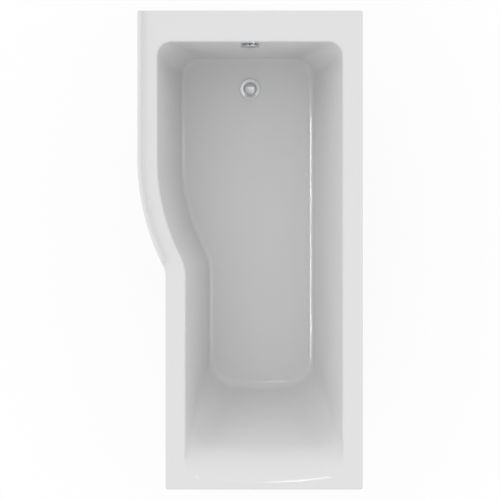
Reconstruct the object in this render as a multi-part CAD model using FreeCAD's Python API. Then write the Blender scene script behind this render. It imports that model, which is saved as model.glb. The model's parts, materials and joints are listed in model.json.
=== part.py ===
"""A P-shaped shower bath: moulded acrylic tub on a levelling leg set, with a pop-up waste and overflow.

Millimetres, +Z up. The origin is on the room's floor under the middle of the rim. The waste end, called the
foot end, is at +Y. The side that meets the wall is at +X, and the bowed shower side is at -X.
"""

import FreeCAD
import Part
import math
import os

from FreeCAD import Vector

# Overall sizes
LENGTH = 1700.0
SHOWER_WIDTH = 800.0
TUB_DEPTH = 400.0
UNDER_SPACE = 150.0
SHELL = 6.0

# Bowed front edge: straight from the foot end, then a large bow and a small blend into the narrow part
BOW_REACH = 100.0
BOW_START = 525.0
BOW_RADIUS = 840.0
BOW_BLEND = 85.0

# Rim
RIM_SIDE = 70.0
RIM_FOOT = 110.0
RIM_HEAD = 24.0
RIM_CORNER = 8.0
RIM_EDGE_ROUND = 5.0
SKIRT = 45.0
BRIM_ROUND = 7.0

# Tub: each fall is how far a wall leans in from the mouth to the floor
FRONT_FALL = 85.0
WALL_FALL = 104.0
FOOT_FALL = 58.0
FLOOR_ROUND = 20.0
MOUTH_FOOT_CORNER = 50.0
MOUTH_HEAD_CORNER = 60.0
FLOOR_FOOT_CORNER = 75.0
FLOOR_HEAD_CORNER = 110.0
HEAD_BOW = 1600.0
BACKREST_ANGLE = 57.0
BACKREST_ROLL = 200.0
BACKREST_LIP_ANGLE = 10.0
BACKREST_FLOOR_ROUND = 45.0
FLOOR_TURNS = (0.0, 20.0, 40.0, 60.0, 75.0)
ROLL_LEVEL_SHARES = (0.0, 0.25, 0.5, 0.75, 1.0)
BRIM_TURNS = (0.0, 30.0, 60.0, 90.0)

# Raised lip along the shower side
LIP_HEIGHT = 15.0
LIP_WIDTH = 11.0
LIP_SETBACK = 1.0
LIP_ROUND = 3.0
LIP_LEAN = 5.0
LIP_COVE = 9.0
LIP_REACH_SHARE = 0.94
LIP_TIP_TURN = 80.0

# Waste in the tub floor
WASTE_FROM_FOOT = 275.0
WASTE_HOLE_R = 27.0
FLANGE_R = 36.0
FLANGE_THICK = 3.0
FLANGE_EDGE = 1.2
FLANGE_LAND = 2.0
FLANGE_DISH = 2.2
THROAT_R = 22.5
THROAT_ROUND = 2.0
TAIL_WALL = 2.5
TAIL_LENGTH = 21.0
TOP_SEAL_THICK = 1.5
TOP_SEAL_R = 34.0
UNDER_SEAL_THICK = 3.0
UNDER_SEAL_R = 38.0
SPIDER_THICK = 3.0
SPIDER_ARM = 4.0
SPIDER_ARMS = 4
HUB_R = 7.0
HUB_HEIGHT = 8.0

# Waste body under the floor, with a side port for the overflow pipe
BODY_FLANGE_R = 40.0
BODY_FLANGE_THICK = 5.0
BODY_WALL = 4.5
BODY_FLOOR = 3.0
CHAMBER_HEIGHT = 42.0
SPIGOT_R = 23.5
SPIGOT_BORE_R = 20.0
SPIGOT_LENGTH = 20.0
PORT_DROP = 29.0
PORT_REACH = 56.0
GLAND_R = 6.0
GLAND_BORE_R = 3.0
GLAND_REACH = 18.0

# Pop-up plug and the lever that lifts it
PLUG_LIFT = 12.0
PLUG_EDGE = 2.0
PLUG_CROWN = 6.0
PLUG_SINK = 2.5
PLUG_SEAL_HEIGHT = 4.0
PLUG_SEAL_WIDTH = 5.0
CARRIER_THICK = 2.0
STEM_R = 4.0
STEM_TIP_R = 2.0
LEVER_ARM = 19.0
LEVER_EYE_R = 5.0
LEVER_NOSE_R = 3.0
LEVER_NECK = 1.5
LEVER_THICK = 6.0
LEVER_ABOVE_FLOOR = 11.0
LEVER_PIN_R = 2.0
LEVER_PIN_SEAT = 3.0

# Trap, towards the wall
TRAP_R = 21.0
TRAP_WALL = 2.5
TRAP_BEND = 30.0
TRAP_DROP = 17.0
TRAP_RUN = 34.0
TRAP_COLLAR_R = 26.0
TRAP_COLLAR_THICK = 4.0
TRAP_WASHER_THICK = 3.0
NUT_WALL = 4.0
NUT_LIP = 3.0
NUT_GRIP = 12.0
NUT_RIBS = 12
NUT_RIB_R = 2.0
OUTLET_SOCKET_R = 26.0
OUTLET_BORE_R = 20.3
OUTLET_SOCKET_DEPTH = 24.0
OUTLET_NUT_HEIGHT = 16.0
OUTLET_SEAL_THICK = 4.0

# Overflow in the foot wall
OVERFLOW_DROP = 60.0
OVERFLOW_HOLE_R = 27.0
CLAMP_RING_R = 31.0
CLAMP_RING_THICK = 2.0
SLEEVE_R = 26.0
SLEEVE_WALL = 2.0
SLEEVE_REACH = 12.0
OVERFLOW_SEAL_R = 37.0
OVERFLOW_SEAL_THICK = 3.0
OVERFLOW_FLANGE_R = 39.0
OVERFLOW_FLANGE_THICK = 4.0
OVERFLOW_WALL = 3.5
OVERFLOW_DEPTH = 40.0
OVERFLOW_SPIGOT_REACH = 25.0
KNOB_R = 33.0
KNOB_GAP = 4.0
KNOB_EDGE = 4.0
KNOB_CROWN = 4.0
KNOB_WALL = 2.0
KNOB_BOSS_R = 7.0
KNOB_NOTCH_R = 3.4
CRANK_R = 13.0
CRANK_THICK = 4.0
BEARING_DEPTH = 6.0

# Rigid overflow pipe
PIPE_R = 17.0
PIPE_WALL = 2.5
PIPE_BEND = 80.0
PIPE_NUT_HEIGHT = 16.0

# Board under the tub floor and battens under the rim
BOARD_THICK = 15.0
BOARD_MARGIN = 14.0
BOARD_WASTE_GAP = 75.0
BOARD_CORNER = 20.0
BATTEN_WIDTH = 40.0
BATTEN_THICK = 18.0
BATTEN_GAP = 3.0
BATTEN_END_GAP = 55.0

# Leg set
BAR_WIDTH = 40.0
BAR_HEIGHT = 25.0
SHEET = 2.0
BAR_FROM_BOARD_END = 70.0
BAR_PAST_LEG = 24.0
LEG_SETBACK = 100.0
LEG_TRAVEL = 20.0
STUD_R = 6.0
STUD_CHAMFER = 1.0
STUD_SPARE = 5.0
NUT_FLATS = 19.0
NUT_HEIGHT = 10.0
PAD_R = 24.0
PAD_EDGE = 6.0
PAD_HEIGHT = 18.0
PAD_TOP_R = 13.0
PAD_SOCKET = 10.0
BRACKET_WIDTH = 60.0
BRACKET_LENGTH = 50.0
BRACKET_DROP = 58.0
BRACKET_FOOT = 34.0
SCREW_R = 2.4
SCREW_HEAD_R = 4.6
SCREW_HEAD = 3.0
SCREW_LENGTH = 13.0
BAR_SCREW_SHARES = (0.12, 0.37, 0.63, 0.88)

# Wall brackets
WALL_BRACKET_WIDTH = 40.0
WALL_BRACKET_PITCH = 900.0
WALL_BRACKET_DROP = 92.0
WALL_BRACKET_JOG = 12.0
WALL_HOLE_R = 2.75
WALL_HOLE_PITCH = 28.0
WALL_HOLE_EDGE = 11.0
WALL_SCREW_PITCH = 20.0

# Clearances
SKIRT_CLEARANCE = 3.0
SEAT_GAP = 0.2
THREAD_GAP = 0.4
RUN_GAP = 0.06
PUSH_GAP = 0.3
OVERRUN = 10.0

# Places worked out from the sizes above
UP = Vector(0, 0, 1)
FOOT_Y = LENGTH / 2
HEAD_Y = -LENGTH / 2
WALL_X = SHOWER_WIDTH / 2
FRONT_X = -SHOWER_WIDTH / 2
NARROW_X = FRONT_X + BOW_REACH
TUB_FLOOR = UNDER_SPACE + SHELL
RIM_TOP = TUB_FLOOR + TUB_DEPTH
RIM_UNDER = RIM_TOP - SHELL
BOW_CENTRE = Vector(FRONT_X + BOW_RADIUS, FOOT_Y - BOW_START, 0)
BOW_TURN = math.acos(1 - BOW_REACH / (BOW_RADIUS + BOW_BLEND))
BLEND_CENTRE = Vector(
    NARROW_X - BOW_BLEND, BOW_CENTRE.y - (BOW_RADIUS + BOW_BLEND) * math.sin(BOW_TURN), 0
)


def block(x0, x1, y0, y1, z0, z1):
    return Part.makeBox(x1 - x0, y1 - y0, z1 - z0, Vector(x0, y0, z0))


def rod(radius, start, end):
    return Part.makeCylinder(radius, (end - start).Length, start, end - start)


def tube(outer, inner, start, end):
    return rod(outer, start, end).cut(rod(inner, start, end))


def face_of(points, place):
    """A flat face. A point written with a second pair is reached by an arc through that pair."""
    edges = []
    for start, end in zip(points, points[1:] + points[:1]):
        first = place(*start[:2])
        last = place(*end[:2])
        if len(end) > 2:
            edges.append(Part.Arc(first, place(*end[2:]), last).toShape())
        else:
            edges.append(Part.LineSegment(first, last).toShape())
    return Part.Face(Part.Wire(edges))


def turned(points, x=0.0, y=0.0):
    """A solid of revolution about the upright line through x and y, from (radius, height) points."""
    profile = face_of(points, lambda radius, height: Vector(x + radius, y, height))
    return profile.revolve(Vector(x, y, 0), UP, 360)


def crown_middle(radius, base, rise):
    """The point half way along a crown's arc, from its edge at radius to its top on the axis."""
    sphere = (radius ** 2 + rise ** 2) / (2 * rise)
    half = math.asin(radius / sphere) / 2
    return sphere * math.sin(half), base + rise - sphere * (1 - math.cos(half))


def hexagon(flats, height, base):
    corners = [math.radians(60 * step) for step in range(7)]
    reach = flats / math.sqrt(3)
    points = [base + Vector(reach * math.cos(a), reach * math.sin(a), 0) for a in corners]
    return Part.Face(Part.makePolygon(points)).extrude(Vector(0, 0, height))


# Plan of the bath

def plan_arc(centre, radius, first, last, z):
    angles = (first, (first + last) / 2, last)
    points = [Vector(centre.x + radius * math.cos(a), centre.y + radius * math.sin(a), z) for a in angles]
    return Part.Arc(*points).toShape()


def plan_outline(z, front, wall, foot, head, foot_corner, head_corner, head_bow=None):
    """The P shape at one height, set in from the bath's edges, with a straight or a bowed head edge."""
    left = FRONT_X + front
    narrow = NARROW_X + front
    right = WALL_X - wall
    top = FOOT_Y - foot
    bottom = HEAD_Y + head
    if head_bow:
        half = (right - narrow) / 2 - head_corner
        lean = math.asin(half / (head_bow - head_corner))
        corner_y = bottom + head_bow - (head_bow - head_corner) * math.cos(lean)
    else:
        lean = 0.0
        corner_y = bottom + head_corner
    quarter = math.pi / 2
    corners = [
        Vector(right - foot_corner, top - foot_corner, 0),
        Vector(left + foot_corner, top - foot_corner, 0),
        Vector(narrow + head_corner, corner_y, 0),
        Vector(right - head_corner, corner_y, 0),
    ]
    arcs = [
        plan_arc(corners[0], foot_corner, 0, quarter, z),
        plan_arc(corners[1], foot_corner, quarter, 2 * quarter, z),
        plan_arc(BOW_CENTRE, BOW_RADIUS - front, 2 * quarter, 2 * quarter + BOW_TURN, z),
        plan_arc(BLEND_CENTRE, BOW_BLEND + front, BOW_TURN, 0, z),
        plan_arc(corners[2], head_corner, 2 * quarter, 3 * quarter - lean, z),
        plan_arc(corners[3], head_corner, 3 * quarter + lean, 4 * quarter, z),
    ]
    ends = [(a.valueAt(a.FirstParameter), a.valueAt(a.LastParameter)) for a in arcs]

    def straight(i, k):
        return Part.LineSegment(ends[i][1], ends[k][0]).toShape()

    if head_bow:
        bow_middle = Vector((narrow + right) / 2, bottom + head_bow, 0)
        head_edge = plan_arc(bow_middle, head_bow, 3 * quarter - lean, 3 * quarter + lean, z)
    else:
        head_edge = straight(4, 5)
    return Part.Wire([
        arcs[0], straight(0, 1), arcs[1], straight(1, 2), arcs[2], arcs[3],
        straight(3, 4), arcs[4], head_edge, arcs[5], straight(5, 0),
    ])


def plan_prism(inset, bottom, top):
    wire = plan_outline(bottom, inset, inset, inset, inset, RIM_CORNER, RIM_CORNER)
    return Part.Face(wire).extrude(Vector(0, 0, top - bottom))


# Moulded tub

def floor_reach(fall):
    """From the mouth to where a wall's rounded foot meets the flat floor."""
    lean = math.atan(fall / TUB_DEPTH)
    return fall + FLOOR_ROUND * math.tan((math.pi / 2 - lean) / 2)


def wall_set(height, fall):
    """How far a leaning wall stands in from the mouth at a height above the tub floor."""
    lean = math.atan(fall / TUB_DEPTH)
    if height < FLOOR_ROUND * (1 - math.sin(lean)):
        return floor_reach(fall) - math.sqrt(FLOOR_ROUND ** 2 - (FLOOR_ROUND - height) ** 2)
    return fall * (1 - height / TUB_DEPTH)


# Backrest: a rounded foot, a straight slope and a roll out to the rim, as heights above the tub floor
SLOPE = math.radians(BACKREST_ANGLE)
ROLL_MIDDLE = TUB_DEPTH - BACKREST_ROLL * math.cos(math.radians(BACKREST_LIP_ANGLE))
ROLL_SET = -BACKREST_ROLL * math.sin(math.radians(BACKREST_LIP_ANGLE))
SLOPE_FOOT = BACKREST_FLOOR_ROUND * (1 - math.cos(SLOPE))
SLOPE_TOP = ROLL_MIDDLE + BACKREST_ROLL * math.cos(SLOPE)


def backrest_set(height):
    """How far the backrest stands in from the head end of the mouth."""
    slope_set = ROLL_SET + BACKREST_ROLL * math.sin(SLOPE)
    if height < SLOPE_FOOT:
        foot_set = slope_set + SLOPE_TOP / math.tan(SLOPE) + BACKREST_FLOOR_ROUND * math.tan(SLOPE / 2)
        below = BACKREST_FLOOR_ROUND - height
        return foot_set - math.sqrt(BACKREST_FLOOR_ROUND ** 2 - below ** 2)
    if height < SLOPE_TOP:
        return slope_set + (SLOPE_TOP - height) / math.tan(SLOPE)
    return ROLL_SET + math.sqrt(BACKREST_ROLL ** 2 - (height - ROLL_MIDDLE) ** 2)


def tub_corner(height, mouth, floor):
    spare = wall_set(height, FRONT_FALL) - FRONT_FALL * (1 - height / TUB_DEPTH)
    return mouth + (floor - mouth) * (1 - height / TUB_DEPTH) - spare


def tub_section(height, grow, flare):
    """The tub's outline at a height: grown to its outer face, or flared where the brim rounds over."""
    out = grow + flare
    return plan_outline(
        TUB_FLOOR + height - grow,
        RIM_SIDE + wall_set(height, FRONT_FALL) - out,
        RIM_SIDE + wall_set(height, WALL_FALL) - out,
        RIM_FOOT + wall_set(height, FOOT_FALL) - out,
        RIM_HEAD + backrest_set(height) - grow,
        tub_corner(height, MOUTH_FOOT_CORNER, FLOOR_FOOT_CORNER) + out,
        tub_corner(height, MOUTH_HEAD_CORNER, FLOOR_HEAD_CORNER) + out,
        HEAD_BOW,
    )


def tub_form(grow, top):
    """The tub in three layers: its rounded foot, its straight walls, and the backrest's roll."""
    foot = [FLOOR_ROUND * (1 - math.cos(math.radians(turn))) for turn in FLOOR_TURNS] + [SLOPE_FOOT]
    roll = [SLOPE_TOP + (top - SLOPE_TOP) * share for share in ROLL_LEVEL_SHARES]
    layers = []
    for levels, straight in ((foot, False), ((SLOPE_FOOT, SLOPE_TOP), True), (roll, False)):
        sections = [tub_section(level, grow, 0.0) for level in levels]
        layers.append(Part.makeLoft(sections, True, straight))
    return layers


def brim_form():
    sections = []
    for turn in BRIM_TURNS:
        angle = math.radians(turn)
        height = TUB_DEPTH - BRIM_ROUND * (1 - math.sin(angle))
        sections.append(tub_section(height, 0.0, BRIM_ROUND * (1 - math.cos(angle))))
    return Part.makeLoft(sections, True, False)


def shower_lip():
    """The raised lip: a profile run along the straight edge, round the bow and closed by a rounded tip."""
    base = RIM_TOP - RIM_EDGE_ROUND
    top = RIM_TOP + LIP_HEIGHT
    near = LIP_SETBACK
    far = LIP_SETBACK + LIP_WIDTH
    foot = far + LIP_LEAN
    cut = LIP_ROUND * (1 - math.sqrt(0.5))
    cove = LIP_COVE * (1 - math.sqrt(0.5))
    points = [
        (near, base),
        (near, top - LIP_ROUND),
        (near + LIP_ROUND, top, near + cut, top - cut),
        (far - LIP_ROUND, top),
        (far, top - LIP_ROUND, far - cut, top - cut),
        (foot, RIM_TOP + LIP_COVE),
        (foot + LIP_COVE, RIM_TOP, foot + cove, RIM_TOP + cove),
        (foot + LIP_COVE, base),
    ]
    profile = face_of(points, lambda inset, z: Vector(FRONT_X + inset, BOW_CENTRE.y, z))
    straight = profile.extrude(Vector(0, BOW_START - LIP_SETBACK, 0))
    turn = math.degrees(BOW_TURN) * LIP_REACH_SHARE
    bowed = profile.revolve(BOW_CENTRE, UP, turn)
    end = profile.copy()
    end.rotate(BOW_CENTRE, UP, turn)
    tip_axis = BOW_CENTRE - FreeCAD.Rotation(UP, turn).multVec(Vector(BOW_RADIUS, 0, 0))
    tip = end.revolve(tip_axis, UP, -LIP_TIP_TURN)
    corner = Vector(FRONT_X + RIM_CORNER, FOOT_Y - RIM_CORNER, base - OVERRUN)
    rise = LIP_HEIGHT + RIM_EDGE_ROUND + 2 * OVERRUN
    square = block(FRONT_X, corner.x, corner.y, FOOT_Y, corner.z, corner.z + rise)
    return straight.cut(square.cut(rod(RIM_CORNER, corner, corner + UP * rise))).fuse(bowed).fuse(tip)


def bath_shell():
    rim = plan_prism(0.0, RIM_TOP - SKIRT, RIM_TOP)
    top_edges = [edge for edge in rim.Edges if edge.BoundBox.ZMin > RIM_UNDER]
    rim = rim.makeFillet(RIM_EDGE_ROUND, top_edges)
    hollow = plan_prism(SHELL, RIM_TOP - SKIRT - OVERRUN, RIM_UNDER)
    solid = rim.cut(hollow).fuse([shower_lip()] + tub_form(SHELL, TUB_DEPTH))
    solid = solid.cut(tub_form(0.0, TUB_DEPTH - BRIM_ROUND) + [brim_form()])
    waste_hole = rod(WASTE_HOLE_R, WASTE + UP * -OVERRUN, WASTE + UP * (SHELL + OVERRUN))
    overflow_hole = on_foot_wall(rod(OVERFLOW_HOLE_R, UP * -(SHELL + OVERRUN), UP * OVERRUN))
    return solid.cut([waste_hole, overflow_hole])


# Waste: the point under its middle on the tub's underside, and heights counted from there
WASTE = Vector(0, FOOT_Y - WASTE_FROM_FOOT, UNDER_SPACE)
FLANGE_UNDER = TUB_FLOOR + TOP_SEAL_THICK
TAIL_R = THROAT_R + TAIL_WALL
TAIL_END = FLANGE_UNDER - TAIL_LENGTH
BODY_TOP = UNDER_SPACE - UNDER_SEAL_THICK
CHAMBER_R = TAIL_R + THREAD_GAP
CHAMBER_FLOOR = BODY_TOP - CHAMBER_HEIGHT
BODY_R = CHAMBER_R + BODY_WALL
SPIGOT_TOP = CHAMBER_FLOOR - BODY_FLOOR
SPIGOT_END = SPIGOT_TOP - SPIGOT_LENGTH
PORT_Z = UNDER_SPACE - PORT_DROP
PORT_R = PIPE_R + PIPE_WALL
PORT_END = WASTE.y + PORT_REACH
PLUG_UNDER = FLANGE_UNDER - PLUG_SINK
PLUG_R = THROAT_R - PUSH_GAP * 2
LEVER_TURN = math.asin(PLUG_LIFT / 2 / LEVER_ARM)
LEVER_PIVOT = Vector(WASTE.x - LEVER_ARM, WASTE.y, CHAMBER_FLOOR + LEVER_ABOVE_FLOOR)
STEM_END = LEVER_PIVOT.z - PLUG_LIFT / 2 + LEVER_NOSE_R + PUSH_GAP


def ring(outer, inner, bottom, top, x, y):
    return turned([(inner, bottom), (outer, bottom), (outer, top), (inner, top)], x, y)


def waste_flange():
    top = FLANGE_UNDER + FLANGE_THICK
    edge = FLANGE_THICK - FLANGE_EDGE
    bend = edge * (1 - math.sqrt(0.5))
    throat_bend = THROAT_ROUND * (1 - math.sqrt(0.5))
    seat = top - FLANGE_DISH
    land = FLANGE_R - edge - FLANGE_LAND
    dish = turned([
        (TAIL_R, FLANGE_UNDER),
        (FLANGE_R, FLANGE_UNDER),
        (FLANGE_R, FLANGE_UNDER + FLANGE_EDGE),
        (FLANGE_R - edge, top, FLANGE_R - bend, top - bend),
        (land, top),
        (THROAT_R + THROAT_ROUND, seat),
        (THROAT_R, seat - THROAT_ROUND, THROAT_R + throat_bend, seat - throat_bend),
        (THROAT_R, TAIL_END),
        (TAIL_R, TAIL_END),
    ], WASTE.x, WASTE.y)
    hub = rod(HUB_R, Vector(WASTE.x, WASTE.y, TAIL_END), Vector(WASTE.x, WASTE.y, TAIL_END + HUB_HEIGHT))
    arm = block(0, TAIL_R - TAIL_WALL / 2, -SPIDER_ARM / 2, SPIDER_ARM / 2, 0, SPIDER_THICK)
    arm.translate(Vector(WASTE.x, WASTE.y, TAIL_END))
    arms = []
    for step in range(SPIDER_ARMS):
        turned_arm = arm.copy()
        turned_arm.rotate(WASTE, UP, 360 / SPIDER_ARMS * (step + 0.5))
        arms.append(turned_arm)
    low = Vector(WASTE.x, WASTE.y, TAIL_END - OVERRUN)
    guide = rod(STEM_R + RUN_GAP, low, low + UP * (HUB_HEIGHT + 2 * OVERRUN))
    return dish.fuse([hub] + arms).cut(guide)


def waste_body():
    barrel = turned([
        (CHAMBER_R, BODY_TOP),
        (BODY_FLANGE_R, BODY_TOP),
        (BODY_FLANGE_R, BODY_TOP - BODY_FLANGE_THICK),
        (BODY_R, BODY_TOP - BODY_FLANGE_THICK),
        (BODY_R, SPIGOT_TOP),
        (SPIGOT_R, SPIGOT_TOP),
        (SPIGOT_R, SPIGOT_END),
        (SPIGOT_BORE_R, SPIGOT_END),
        (SPIGOT_BORE_R, CHAMBER_FLOOR),
        (CHAMBER_R, CHAMBER_FLOOR),
    ], WASTE.x, WASTE.y)
    port_axis = Vector(WASTE.x, WASTE.y, PORT_Z)
    gland_axis = Vector(WASTE.x, WASTE.y, LEVER_PIVOT.z)
    port_mouth = Vector(WASTE.x, PORT_END, PORT_Z)
    gland_mouth = gland_axis - Vector(BODY_R + GLAND_REACH, 0, 0)
    inside = rod(CHAMBER_R, Vector(WASTE.x, WASTE.y, CHAMBER_FLOOR), Vector(WASTE.x, WASTE.y, BODY_TOP))
    branches = rod(PORT_R, port_axis, port_mouth).fuse(rod(GLAND_R, gland_axis, gland_mouth)).cut(inside)
    step_y = PORT_END - PIPE_NUT_HEIGHT
    bores = [
        rod(PIPE_R - PIPE_WALL, port_axis, port_mouth),
        rod(PIPE_R + SEAT_GAP, Vector(WASTE.x, step_y, PORT_Z), port_mouth),
        rod(GLAND_BORE_R, gland_axis, gland_mouth),
    ]
    pin_reach = Vector(0, lever_pin_half() + SEAT_GAP, 0)
    bores.append(rod(LEVER_PIN_R + SEAT_GAP, LEVER_PIVOT - pin_reach, LEVER_PIVOT + pin_reach))
    return barrel.fuse(branches).cut(bores)


def lever_pin_half():
    return math.sqrt(CHAMBER_R ** 2 - LEVER_ARM ** 2) + LEVER_PIN_SEAT


def lever_pin():
    reach = Vector(0, lever_pin_half(), 0)
    return rod(LEVER_PIN_R, LEVER_PIVOT - reach, LEVER_PIVOT + reach)


def lift_lever():
    """A tapered arm from its eye to a round nose under the plug's stem, at its lowest."""
    half = Vector(0, LEVER_THICK / 2, 0)
    nose = LEVER_PIVOT + Vector(LEVER_ARM * math.cos(LEVER_TURN), 0, -PLUG_LIFT / 2)
    along = (nose - LEVER_PIVOT).normalize()
    across = along.cross(Vector(0, 1, 0))
    lean = math.asin((LEVER_EYE_R - LEVER_NECK) / LEVER_ARM)
    corners = []
    for side in (1, -1):
        normal = along * math.sin(lean) + across * (side * math.cos(lean))
        pair = [LEVER_PIVOT + normal * LEVER_EYE_R, nose + normal * LEVER_NECK]
        corners += pair if side > 0 else pair[::-1]
    arm = Part.Face(Part.makePolygon(corners + corners[:1]))
    arm.translate(-half)
    arm = arm.extrude(half * 2)
    ends = [
        rod(LEVER_EYE_R, LEVER_PIVOT - half, LEVER_PIVOT + half),
        rod(LEVER_NOSE_R, nose - half, nose + half),
    ]
    return arm.fuse(ends).cut(rod(LEVER_PIN_R + RUN_GAP, LEVER_PIVOT - half, LEVER_PIVOT + half))


def plug_cap():
    edge = PLUG_UNDER + PLUG_EDGE
    middle = crown_middle(PLUG_R, edge, PLUG_CROWN)
    return turned([
        (0, PLUG_UNDER),
        (PLUG_R, PLUG_UNDER),
        (PLUG_R, edge),
        (0, edge + PLUG_CROWN) + middle,
    ], WASTE.x, WASTE.y)


SEAL_BORE_R = PLUG_R - PLUG_SEAL_WIDTH


def plug_seal():
    outer = THROAT_R - PUSH_GAP
    return ring(outer, SEAL_BORE_R, PLUG_UNDER - PLUG_SEAL_HEIGHT, PLUG_UNDER, WASTE.x, WASTE.y)


def plug_stem():
    seal_under = PLUG_UNDER - PLUG_SEAL_HEIGHT
    carrier_under = seal_under - CARRIER_THICK
    return turned([
        (0, STEM_END),
        (STEM_TIP_R, STEM_END),
        (STEM_R, STEM_END + STEM_R - STEM_TIP_R),
        (STEM_R, carrier_under),
        (PLUG_R - CARRIER_THICK, carrier_under),
        (PLUG_R - CARRIER_THICK, seal_under),
        (SEAL_BORE_R - SEAT_GAP, seal_under),
        (SEAL_BORE_R - SEAT_GAP, PLUG_UNDER),
        (0, PLUG_UNDER),
    ], WASTE.x, WASTE.y)


# Trap
TRAP_TOP = SPIGOT_END - TRAP_WASHER_THICK
TRAP_BEND_Z = TRAP_TOP - TRAP_DROP
OUTLET_Z = TRAP_BEND_Z + TRAP_BEND
OUTLET_X = WASTE.x + 3 * TRAP_BEND + TRAP_RUN
OUTLET_END = OUTLET_X + OUTLET_SOCKET_DEPTH


def pipe_along(radius, path, start, direction):
    section = Part.Wire(Part.makeCircle(radius, start, direction))
    return path.makePipeShell([section], True, False)


def trap_path():
    """Down from the waste, round a U and out level towards the wall, all in one upright plane."""
    def at(x, z):
        return Vector(WASTE.x + x, WASTE.y, z)

    bend = TRAP_BEND
    slant = bend * math.sqrt(0.5)
    out = 3 * bend
    return Part.Wire([
        Part.LineSegment(at(0, TRAP_TOP), at(0, TRAP_BEND_Z)).toShape(),
        Part.Arc(at(0, TRAP_BEND_Z), at(bend, TRAP_BEND_Z - bend), at(2 * bend, TRAP_BEND_Z)).toShape(),
        Part.Arc(
            at(2 * bend, TRAP_BEND_Z), at(out - slant, TRAP_BEND_Z + slant), at(out, OUTLET_Z)
        ).toShape(),
        Part.LineSegment(at(out, OUTLET_Z), at(OUTLET_X - WASTE.x, OUTLET_Z)).toShape(),
    ])


def trap_body():
    path = trap_path()
    start = Vector(WASTE.x, WASTE.y, TRAP_TOP)
    outer = pipe_along(TRAP_R, path, start, UP)
    inner = pipe_along(TRAP_R - TRAP_WALL, path, start, UP)
    collar = rod(TRAP_COLLAR_R, start - UP * TRAP_COLLAR_THICK, start)
    socket_start = Vector(OUTLET_X, WASTE.y, OUTLET_Z)
    socket_back = socket_start - Vector(TRAP_COLLAR_THICK, 0, 0)
    socket_end = Vector(OUTLET_END, WASTE.y, OUTLET_Z)
    socket = rod(OUTLET_SOCKET_R, socket_back, socket_end)
    return outer.fuse([collar, socket]).cut([inner, rod(OUTLET_BORE_R, socket_start, socket_end)])


def ribbed_nut(outer, bore, lip_bore, height, start, direction):
    """A hand-tightened nut: ribs outside, a wide bore, and a lip with a smaller one at its far end."""
    end = start + direction * height
    nut = rod(outer, start, end)
    side = direction.cross(UP if abs(direction.z) < abs(direction.x + direction.y) else Vector(1, 0, 0))
    side = side.normalize() * outer
    ribs = []
    for step in range(NUT_RIBS):
        offset = FreeCAD.Rotation(direction, 360 / NUT_RIBS * step).multVec(side)
        ribs.append(rod(NUT_RIB_R, start + offset, end + offset))
    bores = [rod(lip_bore, start, end), rod(bore, start, end - direction * NUT_LIP)]
    return nut.fuse(ribs).cut(bores)


def trap_union_nut():
    bore = TRAP_COLLAR_R + SEAT_GAP
    start = Vector(WASTE.x, WASTE.y, SPIGOT_END + NUT_GRIP)
    height = NUT_GRIP + TRAP_WASHER_THICK + TRAP_COLLAR_THICK + SEAT_GAP + NUT_LIP
    nut = ribbed_nut(bore + NUT_WALL, bore, TRAP_R + THREAD_GAP, height, start, -UP)
    thread = tube(bore + SEAT_GAP, SPIGOT_R + THREAD_GAP, start, start - UP * (NUT_GRIP - SEAT_GAP))
    return nut.fuse(thread)


def trap_washer():
    return ring(TRAP_COLLAR_R - SEAT_GAP, SPIGOT_BORE_R, TRAP_TOP, SPIGOT_END, WASTE.x, WASTE.y)


def outlet_seal():
    start = Vector(OUTLET_END, WASTE.y, OUTLET_Z)
    return tube(OUTLET_SOCKET_R, OUTLET_BORE_R, start, start + Vector(OUTLET_SEAL_THICK, 0, 0))


def outlet_nut():
    bore = OUTLET_SOCKET_R + THREAD_GAP
    far = OUTLET_END + OUTLET_SEAL_THICK + NUT_LIP
    start = Vector(far - OUTLET_NUT_HEIGHT, WASTE.y, OUTLET_Z)
    return ribbed_nut(bore + NUT_WALL, bore, OUTLET_BORE_R, OUTLET_NUT_HEIGHT, start, Vector(1, 0, 0))


# Overflow: made upright about its own axis, with zero on the tub's inner face, then stood on the foot wall
FOOT_LEAN = math.degrees(math.atan(FOOT_FALL / TUB_DEPTH))
OVERFLOW = Vector(
    WASTE.x, FOOT_Y - RIM_FOOT - FOOT_FALL * OVERFLOW_DROP / TUB_DEPTH, RIM_TOP - OVERFLOW_DROP
)
WALL_BACK = -SHELL * (math.cos(math.radians(FOOT_LEAN)) + math.sin(math.radians(FOOT_LEAN)))
SEAL_TOP = WALL_BACK - SEAT_GAP
HOUSING_TOP = SEAL_TOP - OVERFLOW_SEAL_THICK
HOUSING_BACK = HOUSING_TOP - OVERFLOW_DEPTH
HOUSING_BORE_R = SLEEVE_R + THREAD_GAP
KNOB_BACK = SEAT_GAP + CLAMP_RING_THICK + KNOB_GAP
SPINDLE_END = HOUSING_BACK + OVERFLOW_WALL + SEAT_GAP
CRANK_TOP = HOUSING_BACK + OVERFLOW_WALL + BEARING_DEPTH + CRANK_THICK + SEAT_GAP
FOOT_WALL_PLACE = FreeCAD.Placement(OVERFLOW, FreeCAD.Rotation(Vector(1, 0, 0), 90 - FOOT_LEAN))


def on_foot_wall(shape):
    placed = shape.copy()
    placed.Placement = FOOT_WALL_PLACE.multiply(shape.Placement)
    return placed


PIPE_Y = FOOT_WALL_PLACE.multVec(UP * ((HOUSING_TOP + HOUSING_BACK - OVERFLOW_FLANGE_THICK) / 2)).y
SPIGOT_MOUTH_Z = OVERFLOW.z - HOUSING_BORE_R - OVERFLOW_WALL - OVERFLOW_SPIGOT_REACH


def overflow_seal():
    bottom = SEAL_TOP - OVERFLOW_SEAL_THICK
    return on_foot_wall(ring(OVERFLOW_SEAL_R, OVERFLOW_HOLE_R, bottom, SEAL_TOP, 0.0, 0.0))


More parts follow.
